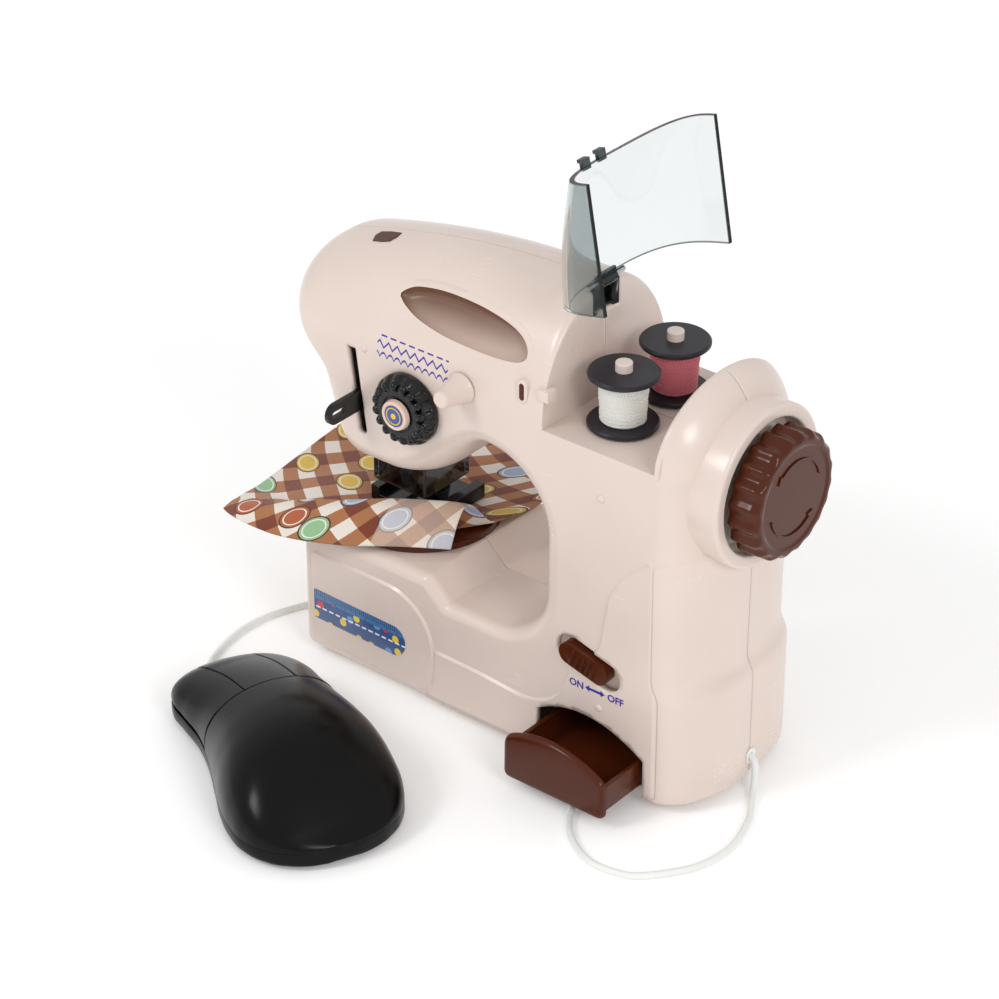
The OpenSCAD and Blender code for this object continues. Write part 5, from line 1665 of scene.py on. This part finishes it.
@dataclass
class SpoolCover:
    """Smoked cover: an arched sheet with straight legs, turned open on its hinge.

    It runs from x0 to x1 when shut; its crown and its lower edge fall by the two falls on the way.
    """

    finishes: Finishes
    hinge: tuple[float, float] = (22.0, 178.5)
    open_by: float = 104.0
    x0: float = 23.6
    x1: float = 69.6
    wall: float = 1.6
    half_width: float = 35.3
    crown_z: float = 179.0
    crown_fall: float = 16.7
    edge_z: float = 150.5
    edge_fall: float = 3.0
    squareness: float = 0.62

    def top(self, x: np.ndarray) -> np.ndarray:
        """Crown height along the cover."""
        t = (x - self.x0) / (self.x1 - self.x0)
        return self.crown_z - self.crown_fall * (0.35 * t + 0.65 * t * t)

    def low(self, x: np.ndarray) -> np.ndarray:
        """Height of the lower edge along the cover."""
        return self.edge_z - self.edge_fall * (x - self.x0) / (self.x1 - self.x0)

    def turned(self, p: np.ndarray) -> np.ndarray:
        """Points of the shut cover, turned open.

        Args:
            p: Points of the shut cover.

        Returns:
            The same points, turned.
        """
        c, s = math.cos(math.radians(-self.open_by)), math.sin(math.radians(-self.open_by))
        dx, dz = p[..., 0] - self.hinge[0], p[..., 2] - self.hinge[1]
        return np.stack([self.hinge[0] + dx * c + dz * s, p[..., 1], self.hinge[1] - dx * s + dz * c], -1)

    def sheet(self, inset: float) -> np.ndarray:
        """Grid of the arch: each section is a squared half circle between the legs, set in by an amount.

        Args:
            inset: Distance from the outer skin.

        Returns:
            The points.
        """
        x = np.linspace(self.x0, self.x1, 30)[:, None]
        a = np.linspace(0, np.pi, 73)[None, :]

        def square(v: np.ndarray) -> np.ndarray:
            """Sine or cosine of a circle, drawn out towards a square."""
            return np.sign(v) * np.abs(v) ** self.squareness

        y = -(self.half_width - inset) * square(np.cos(a)) + 0 * x
        z = self.low(x) + (self.top(x) - inset - self.low(x)) * square(np.sin(a))
        return np.stack([x + 0 * a, y, z], -1)

    def build(self) -> None:
        """Sheet, hinge lug and the two hooked tabs."""
        outer, inner = self.turned(self.sheet(0)), self.turned(self.sheet(self.wall))
        parts = [thick_patch(outer, inner)]
        a = np.radians(np.linspace(60, 300, 28))
        lug = np.vstack([circle(2.5, a, self.hinge), [(25.4, 176.3), (25.4, 178.2)]])
        hook = np.array([(68.6, -0.8), (72.4, -0.8), (72.4, 1.6), (71.2, 1.6), (71.2, 0.8), (68.6, 0.8)])
        end = np.array(self.x1)
        foot, crown = self.low(end), self.top(end)
        shapes = prism(lug, 4, -4, 0.3)
        for y in (-21.0, -12.0):
            bow = (1 - (abs(y + 2) / 34.7) ** 3.2) ** 0.31
            raised = hook + [0, float(foot + (crown - foot) * bow - 0.6)]
            shapes += prism(raised, y + 4, y, 0.3)
        parts += [(self.turned(p), f) for p, f in shapes]
        rows, cols = outer.shape[:2]
        u, v = np.meshgrid(np.linspace(0, 1, rows), np.linspace(0, 1, cols), indexing="ij")
        flat = np.stack([u.ravel(), v.ravel()], 1)
        rest = sum(len(p) for p, _ in parts[1:])
        uv = np.vstack([flat, flat, np.tile([0.0, 0.0], (rest, 1))])
        piece("clear_cover", parts, self.finishes.smoke, Body.COVER, ["spool_cover"], 40.0,
              uv=uv)


@dataclass
class Pedal:
    """Foot pedal: a low tub, an arched cover and three keys, turned on the floor beside the machine.

    Along its length u, half is its half width, mid its centre and top its height. Across an arch turn a
    the skin lies at v = mid + half cos a and z = low + (top - low) sin(a) to the power 0.8. A line at
    past lies beyond every half width, so a patch that reaches it ends at the pedal's own edge.
    """

    finishes: Finishes
    length: float = 114.0
    wall: float = 2.0
    turn: float = -24.0
    past: float = 90.0
    origin: tuple[float, float] = (-93.0, -79.4)
    half: tuple = ((0, 17), (3, 21), (8, 24), (18, 25.5), (32, 25.5), (46, 27), (60, 29.5), (72, 31.5),
                   (84, 32), (94, 30.8), (102, 27), (108, 21), (112, 13), (114, 5))
    mid: tuple = ((0, 2), (18, 5), (40, 5), (60, 3.5), (84, 1), (114, 0))
    top: tuple = ((0, 16), (4, 18.5), (12, 21.5), (24, 25.5), (36, 29), (48, 32), (60, 34.3), (70, 35),
                  (80, 33.8), (90, 29.5), (98, 24), (106, 16.5), (111, 11.5), (114, 9))

    def placed(self, u: np.ndarray, v: np.ndarray, z: np.ndarray) -> np.ndarray:
        """Pedal coordinates in the frame.

        Args:
            u: Places along the pedal.
            v: Places across it.
            z: Heights.

        Returns:
            The points.
        """
        c, s = math.cos(math.radians(self.turn)), math.sin(math.radians(self.turn))
        x, y = self.origin[0] + u * c - v * s, self.origin[1] + u * s + v * c
        return np.stack(np.broadcast_arrays(x, y, z), -1)

    def arch(self, u: np.ndarray, share: np.ndarray, v0: float, v1: float, inset: float,
             low: float) -> np.ndarray:
        """Grid of the arch between two lines across it, set in by an amount.

        Args:
            u: Places along.
            share: Shares of the way across.
            v0: Line where it starts.
            v1: Line where it ends.
            inset: Distance from the outer skin.
            low: Height of its edge.

        Returns:
            The points.
        """
        half, mid, top = (table_curve(t, u) for t in (self.half, self.mid, self.top))
        a0, a1 = np.arccos(np.clip(v0 / half, -1, 1)), np.arccos(np.clip(v1 / half, -1, 1))
        a = a0 + (a1 - a0) * share
        v = mid + (half - inset) * np.cos(a)
        z = low + (top - inset - low) * np.clip(np.sin(a), 0, 1) ** 0.8
        return self.placed(u + 0 * a, v, z)

    def patch(self, name: str, u0: float, u1: float, v0: float, v1: float, low: float, body: Body,
              node: str, counts: tuple[int, int]) -> None:
        """One arched shell with its edges rounded.

        Args:
            name: The piece's name.
            u0: Where it starts.
            u1: Where it ends.
            v0: Line across where it starts.
            v1: Line across where it ends.
            low: Height of its edge.
            body: The body it moves with.
            node: The node it stands for.
            counts: Points along and across.
        """
        u = (u0 + (u1 - u0) * np.linspace(0, 1, counts[0]) ** (1.0 if u0 < 1 else 0.85))[:, None]
        share = np.linspace(0, 1, counts[1])[None, :]
        if v0 >= self.past and v1 <= -self.past:
            share = 0.5 - 0.5 * np.cos(np.pi * share)
        part = thick_patch(self.arch(u, share, v0, v1, 0, low), self.arch(u, share, v0, v1, self.wall, low))
        obj = piece(name, [part], self.finishes.pedal, body, [node], 45.0)
        round_edges(obj, 0.45, 50)

    def tub(self) -> None:
        """Low base with a rounded lower edge."""
        u = np.concatenate([np.linspace(0, 100, 60), np.linspace(101, 114, 24)])
        half, mid = table_curve(self.half, u), table_curve(self.mid, u)
        rings = []
        for z, inset in ((2.0, 1.6), (2.3, 0.7), (3.0, 0.15), (4.0, 0.0), (7.1, 0.0), (7.45, 0.15),
                         (7.6, 0.6)):
            uu = np.clip(u, inset, self.length - inset)
            near = mid - np.maximum(half - inset, 1)
            far = mid + np.maximum(half - inset, 1)
            rings.append(np.concatenate([self.placed(uu, near, z + 0 * u),
                                         self.placed(uu, far, z + 0 * u)[::-1]]))
        faces = capped(len(rings), len(rings[0]))
        piece("pedal_tub", [(np.concatenate(rings), faces)], self.finishes.pedal, Body.HOUSING,
              ["pedal_base"], 40.0)

    def build(self) -> None:
        """Tub, cover and keys."""
        self.tub()
        self.patch("pedal_shell", 40.3, self.length, self.past, -self.past, 7.65, Body.HOUSING,
                   "pedal_cover", (70, 80))
        for side, v0, v1, body, across in (
                ("left", self.past, 10.2, Body.KEY_LEFT, 26), ("middle", 9.8, -9.8, Body.KEY_MIDDLE, 22),
                ("right", -10.2, -self.past, Body.KEY_RIGHT, 26)):
            self.patch(f"key_{side}_skin", 0.2, 40.0, v0, v1, 9.0, body, f"pedal_{side}", (36, across))


@dataclass
class Cloth:
    """Piece of cotton under the presser foot: a raised front flap, a crest, a hollow and a lifted back.

    The surface blends four curves across t: front edge, crest, hollow and back edge. The breaks are the
    places of crest and hollow on t, and the counts the points from left to right and from front to back.
    """

    finishes: Finishes
    z: float = 57.6
    thick: float = 0.5
    breaks: tuple[float, float] = (0.28, 0.44)
    counts: tuple[int, int] = (150, 120)

    def curves(self) -> list[np.ndarray]:
        """Control points of the four curves, from left to right.

        Returns:
            Four control points of each curve.
        """
        z = self.z
        return [np.array(c, float) for c in (
            [(-114, -50, z + 0.4), (-95, -60, z - 1), (-58, -38, z - 1.2), (-33, -17, z - 1.2)],
            [(-113, -44, z + 2.4), (-88, -40, z + 5), (-56, -17, z + 16), (-35, -6, z + 11)],
            [(-115, -28, z + 1.2), (-88, -30, z + 0.4), (-52, -28, z), (-31, 6, z - 0.6)],
            [(-120, 24, z + 3), (-102, 58, z + 1), (-54, 56, z), (-27, 32, z - 1)])]

    def surface(self, n: int, m: int) -> np.ndarray:
        """Grid of the cloth's upper side, with small folds that fade at the foot.

        Args:
            n: Points from left to right.
            m: Points from front to back.

        Returns:
            The points.
        """
        s, t = np.linspace(0, 1, n), np.linspace(0, 1, m)[None, :, None]
        f, c, h, b = (bezier(*k, s)[:, None, :] for k in self.curves())
        t0, t1 = self.breaks
        p, q = np.clip(t / t0, 0, 1), np.clip((t - t0) / (t1 - t0), 0, 1)
        r = np.clip((t - t1) / (1 - t1), 0, 1)
        flat = np.where(t < t0, f + (c - f) * p, np.where(t < t1, c + (h - c) * q, h + (b - h) * r))
        rise_p, rise_q, rise_r = np.sin(np.pi / 2 * p), (1 - np.cos(np.pi * q)) / 2, r ** 2
        high = np.where(t < t0, f[..., 2:] + (c - f)[..., 2:] * rise_p,
                        np.where(t < t1, c[..., 2:] + (h - c)[..., 2:] * rise_q,
                                 h[..., 2:] + (b - h)[..., 2:] * rise_r))
        ss, tt = s[:, None], t[..., 0]
        broad = 1.1 * np.sin(9.5 * ss + 4 * tt) * np.sin(7 * tt + 1.5)
        ripple = broad + 0.4 * np.sin(21 * ss - 9 * tt) * np.sin(13 * tt)
        calm = smoothstep(0.18, 0.32, np.hypot((ss - 0.66) * 1.1, tt - 0.52))
        lift = 0.45 + np.maximum(ripple * calm, 0.25 * ripple * calm - 0.1)
        return np.concatenate([flat[..., :2], high + 0.4 + lift[..., None] * 0.8], -1)

    def build(self) -> None:
        """Cloth with its flat map in millimetres."""
        n, m = self.counts
        grid = self.surface(n, m)
        along = np.linalg.norm(np.diff(grid, axis=0), axis=-1)
        across = np.linalg.norm(np.diff(grid, axis=1), axis=-1)
        u = np.vstack([np.zeros((1, m)), np.cumsum(along, 0)])
        v = np.hstack([np.zeros((n, 1)), np.cumsum(across, 1)])
        u = u.mean(1, keepdims=True) + 0 * u
        uv = np.stack([u.ravel(), v.ravel()], 1)
        obj = piece("cotton_cloth", [(grid, grid_faces(n, m))], self.finishes.cloth, Body.HOUSING,
                    ["sewing_cloth"], 80.0, recalc=False, uv=uv)
        thicken(obj, self.thick, 0.0)


@dataclass
class SmallFittings:
    """Moulded fittings that keep their solid form with rounded edges, the label and the switch's words.

    The drawer's box is given by its two sides, its front and back, and the radius of its corners.
    """

    finishes: Finishes
    drawer_x: tuple[float, float] = (23.9, 67.1)
    drawer_y: tuple[float, float] = (-54.4, -2.8)
    drawer_corner: float = 1.6
    print_y: float = -35.62

    def word(self, text: str, x: float, z: float, size: float) -> bpy.types.Mesh:
        """A word as a thin flat mesh on the front, from Blender's own letters.

        Args:
            text: The word.
            x: Its left end.
            z: Its base line.
            size: Letter size.

        Returns:
            The mesh.
        """
        curve = bpy.data.curves.new(text, "FONT")
        curve.body, curve.size, curve.extrude = text, size * MM, 0.05 * MM
        curve.offset = 0.09 * MM
        curve.resolution_u = 3
        holder = bpy.data.objects.new(text, curve)
        bpy.context.scene.collection.objects.link(holder)
        bpy.context.view_layer.update()
        mesh = bpy.data.meshes.new_from_object(holder.evaluated_get(bpy.context.evaluated_depsgraph_get()))
        bpy.data.objects.remove(holder)
        spot = Matrix.Translation((x * MM, self.print_y * MM, z * MM))
        mesh.transform(spot @ Matrix.Rotation(math.pi / 2, 4, "X"))
        return mesh

    def drawer(self) -> None:
        """Drawer: an arched front with a cushioned face, and an open box behind it."""
        arch = bezier(np.array([67.6, 19.6]), np.array([54.4, 27.8]), np.array([38.4, 30.6]),
                      np.array([23.4, 21.6]), np.linspace(0, 1, 40))
        outline = evenly(np.vstack([[(23.2, 4.7), (67.8, 4.7)], arch, [(23.2, 4.7)]]), 0.6)[:-1]
        outline = sum(np.roll(outline, k, 0) for k in range(-5, 6)) / 11
        parts = prism(outline, -54.2, -56.6, 1.9)
        (x0, x1), (y0, y1) = self.drawer_x, self.drawer_y

        def loop(inset: float, z: float) -> np.ndarray:
            """Rounded rectangle of the box, set in by an amount, at a height.

            Args:
                inset: Distance from the outer wall.
                z: Height.

            Returns:
                The points.
            """
            r = max(self.drawer_corner - inset, 0.5)
            a = np.radians(np.arange(0, 360, 15))
            x = np.where(np.cos(a) > 0, x1 - inset - r, x0 + inset + r) + r * np.cos(a)
            y = np.where(np.sin(a) > 0, y1 - inset - r, y0 + inset + r) + r * np.sin(a)
            return np.stack([x, y, np.full(len(a), z)], 1)

        rings = [loop(*k) for k in ((0.8, 7.4), (0.2, 7.7), (0, 8.4), (0, 17.7), (0.3, 18), (1.5, 18),
                                    (1.8, 17.7), (1.8, 9.8), (2.2, 9.3))]
        faces = capped(len(rings), len(rings[0]))
        piece("thread_drawer", parts + [(np.concatenate(rings), faces)], self.finishes.brown, Body.TRAY,
              ["drawer"], 40.0)

    def build(self) -> None:
        """All fittings in turn."""
        f = self.finishes
        self.drawer()
        softened("presser_foot", "foot_plate", 0.4, f.black, Body.PRESSER)
        softened("needle_guard", "smoked_guard", 0.5, f.guard, Body.HOUSING)
        softened("switch_knob", "slide_knob", 0.45, f.brown, Body.SWITCH, 3)
        softened("take_up_lever", "thread_lever", 0.3, f.black, Body.LEVER)
        softened("needle_plate", "stitch_plate", 0.35, f.brown, Body.HOUSING)
        softened("thread_post", "guide_post", 0.5, f.housing, Body.HOUSING, 3)
        softened("spool_pegs", "reel_pegs", 0.7, f.beige, Body.HOUSING, 3)
        softened("battery_door", "cell_door", 0.3, f.beige, Body.HOUSING)
        a = np.radians(np.linspace(-100, 78, 22))
        end = np.stack([-45.4 + 6.1 * np.cos(a), 22.7 + 6.3 * np.sin(a)], 1)
        corners = np.vstack([[(-83.3, 17.6), (-82.9, 17.3)], end, [(-82.9, 29.6), (-83.3, 29.3)]])
        piece("front_label", prism(corners, -35.5, -35.85, 0.05), f.label, Body.HOUSING,
              ["label_strip"])
        for text, x in (("ON", 36.4), ("OFF", 53.2)):
            mesh = self.word(text, x, 38.6, 4.0)
            place_mesh("switch_word_" + text.lower(), mesh, f.print, Body.HOUSING, [], 30.0)
        bar = np.array([(43.4, 40.0), (45.2, 38.7), (45.2, 39.5), (50.2, 39.5), (50.2, 38.7), (52.0, 40.0),
                        (50.2, 41.3), (50.2, 40.5), (45.2, 40.5), (45.2, 41.3)])
        piece("switch_arrow", prism(bar, -35.5, -35.67), f.print, Body.HOUSING)


@dataclass
class Stage:
    """Camera, floor and light; places in metres.

    The ambient strength is what the surroundings light with, and the glow what the floor adds of its own.
    """

    lens: float = 126.84
    eye: tuple[float, float, float] = (0.662864, -0.840058, 0.728094)
    azimuth: float = 39.2787
    elevation: float = 31.0914
    aim: tuple[float, float, float] = (0, -0.02, 0.08)
    ambient: float = 0.76
    floor_glow: float = 0.12

    def camera(self) -> None:
        """Camera at the photograph's place and angle."""
        data = bpy.data.cameras.new("camera")
        data.lens, data.sensor_width = self.lens, 36.0
        data.clip_end = 20.0
        obj = bpy.data.objects.new("camera", data)
        obj.location = self.eye
        obj.rotation_euler = (math.radians(90 - self.elevation), 0, math.radians(self.azimuth))
        bpy.context.scene.collection.objects.link(obj)
        bpy.context.scene.camera = obj

    def floor(self) -> None:
        """Pale floor that shows as white and keeps the shadow."""
        mesh = bpy.data.meshes.new("floor")
        mesh.from_pydata([(-6, -6, 0), (6, -6, 0), (6, 6, 0), (-6, 6, 0)], [], [[0, 1, 2, 3]])
        s = Shader("floor_paper", Roughness=0.9, Specular_IOR_Level=0.1, Emission_Strength=self.floor_glow)
        s.feed(Base_Color=s.mix(s.noise(s.place(), 0.01, 2), linear((250, 250, 250)),
                                linear((253, 253, 253))))
        mesh.materials.append(s.material)
        obj = bpy.data.objects.new("floor", mesh)
        bpy.context.scene.collection.objects.link(obj)

    def lamp(self, name: str, place: Sequence[float], size: float, watts: float) -> None:
        """Square soft lamp that looks at the middle of the machine.

        Args:
            name: The lamp's name.
            place: Where it hangs, in metres.
            size: Its side in metres.
            watts: Its power.
        """
        data = bpy.data.lights.new(name, "AREA")
        data.size, data.energy = size, watts
        obj = bpy.data.objects.new(name, data)
        obj.location = place
        ray = Vector(self.aim) - Vector(place)
        obj.rotation_euler = ray.to_track_quat("-Z", "Y").to_euler()
        bpy.context.scene.collection.objects.link(obj)

    def world(self) -> None:
        """White surroundings: full white where they are seen, softer where they light."""
        world = bpy.data.worlds.new("studio")
        bpy.context.scene.world = world
        world.use_nodes = True
        tree = world.node_tree
        tree.nodes.clear()
        kinds = ("LightPath", "Math", "Background", "Background", "MixShader", "OutputWorld")
        path, either, seen, light, blend, out = (tree.nodes.new("ShaderNode" + k) for k in kinds)
        either.operation = "MAXIMUM"
        for shade, strength in ((seen, 1.0), (light, self.ambient)):
            shade.inputs["Strength"].default_value = strength
            shade.inputs["Color"].default_value = (1, 1, 1, 1)
        for source, target in ((path.outputs["Is Camera Ray"], either.inputs[0]),
                               (path.outputs["Is Transmission Ray"], either.inputs[1]),
                               (either.outputs[0], blend.inputs[0]), (light.outputs[0], blend.inputs[1]),
                               (seen.outputs[0], blend.inputs[2]), (blend.outputs[0], out.inputs[0])):
            tree.links.new(source, target)

    def build(self) -> None:
        """Set the stage."""
        bpy.context.scene.view_settings.view_transform = "Standard"
        self.camera()
        self.floor()
        self.world()
        self.lamp("key", (-0.7, -1.5, 1.5), 0.55, 11.0)
        self.lamp("fill", (1.6, -0.7, 1.1), 0.6, 9.0)


def dress_nodes(finishes: Finishes) -> None:
    """Give every frame node that still shows its finish.

    Args:
        finishes: The finishes.
    """
    by_slot = {
        "housing_plastic": finishes.beige, "rubber": finishes.rubber, "steel": finishes.steel,
        "inner_plastic": finishes.inner, "battery_sleeve": finishes.sleeve, "brown_plastic": finishes.brown,
        "smoked_plastic": finishes.smoke, "black_plastic": finishes.black, "bush_metal": finishes.bush,
        "dial_cap": finishes.cap, "spool_plastic": finishes.spool, "white_thread": finishes.white_thread,
        "pink_thread": finishes.pink_thread, "motor_can": finishes.can, "label": finishes.label,
        "circuit_board": finishes.board, "cord_jacket": finishes.cord, "cotton_cloth": finishes.cloth}
    slots = {p["node"]: p["material_slot"] for p in frame["record"].get("subparts", [])}
    for name, obj in frame["nodes"].items():
        material = by_slot.get(slots.get(name, ""), finishes.inner)
        if obj.material_slots:
            for place in obj.material_slots:
                place.material = material
        else:
            obj.data.materials.append(material)
        LOG.info("%s keeps its solid, in %s", name, material.name)


def main() -> None:
    """Build the machine in order and report each piece."""
    logging.basicConfig(level=logging.INFO, format="%(name)s %(message)s")
    finishes = Finishes()
    Stage().build()
    dress_nodes(finishes)
    Cord(finishes).build()
    Housing(finishes).build()
    TensionDial(finishes).build()
    Handwheel(finishes).build()
    ThreadBundle(finishes, "front_thread_bundle", -14.4, Body.FRONT_REEL, False,
                 ("front_thread", "front_winding")).build()
    ThreadBundle(finishes, "rear_thread_bundle", 14.4, Body.REAR_REEL, True,
                 ("rear_thread", "rear_winding")).build()
    SpoolCover(finishes).build()
    Pedal(finishes).build()
    Cloth(finishes).build()
    SmallFittings(finishes).build()


if __name__ == "__main__":
    main()
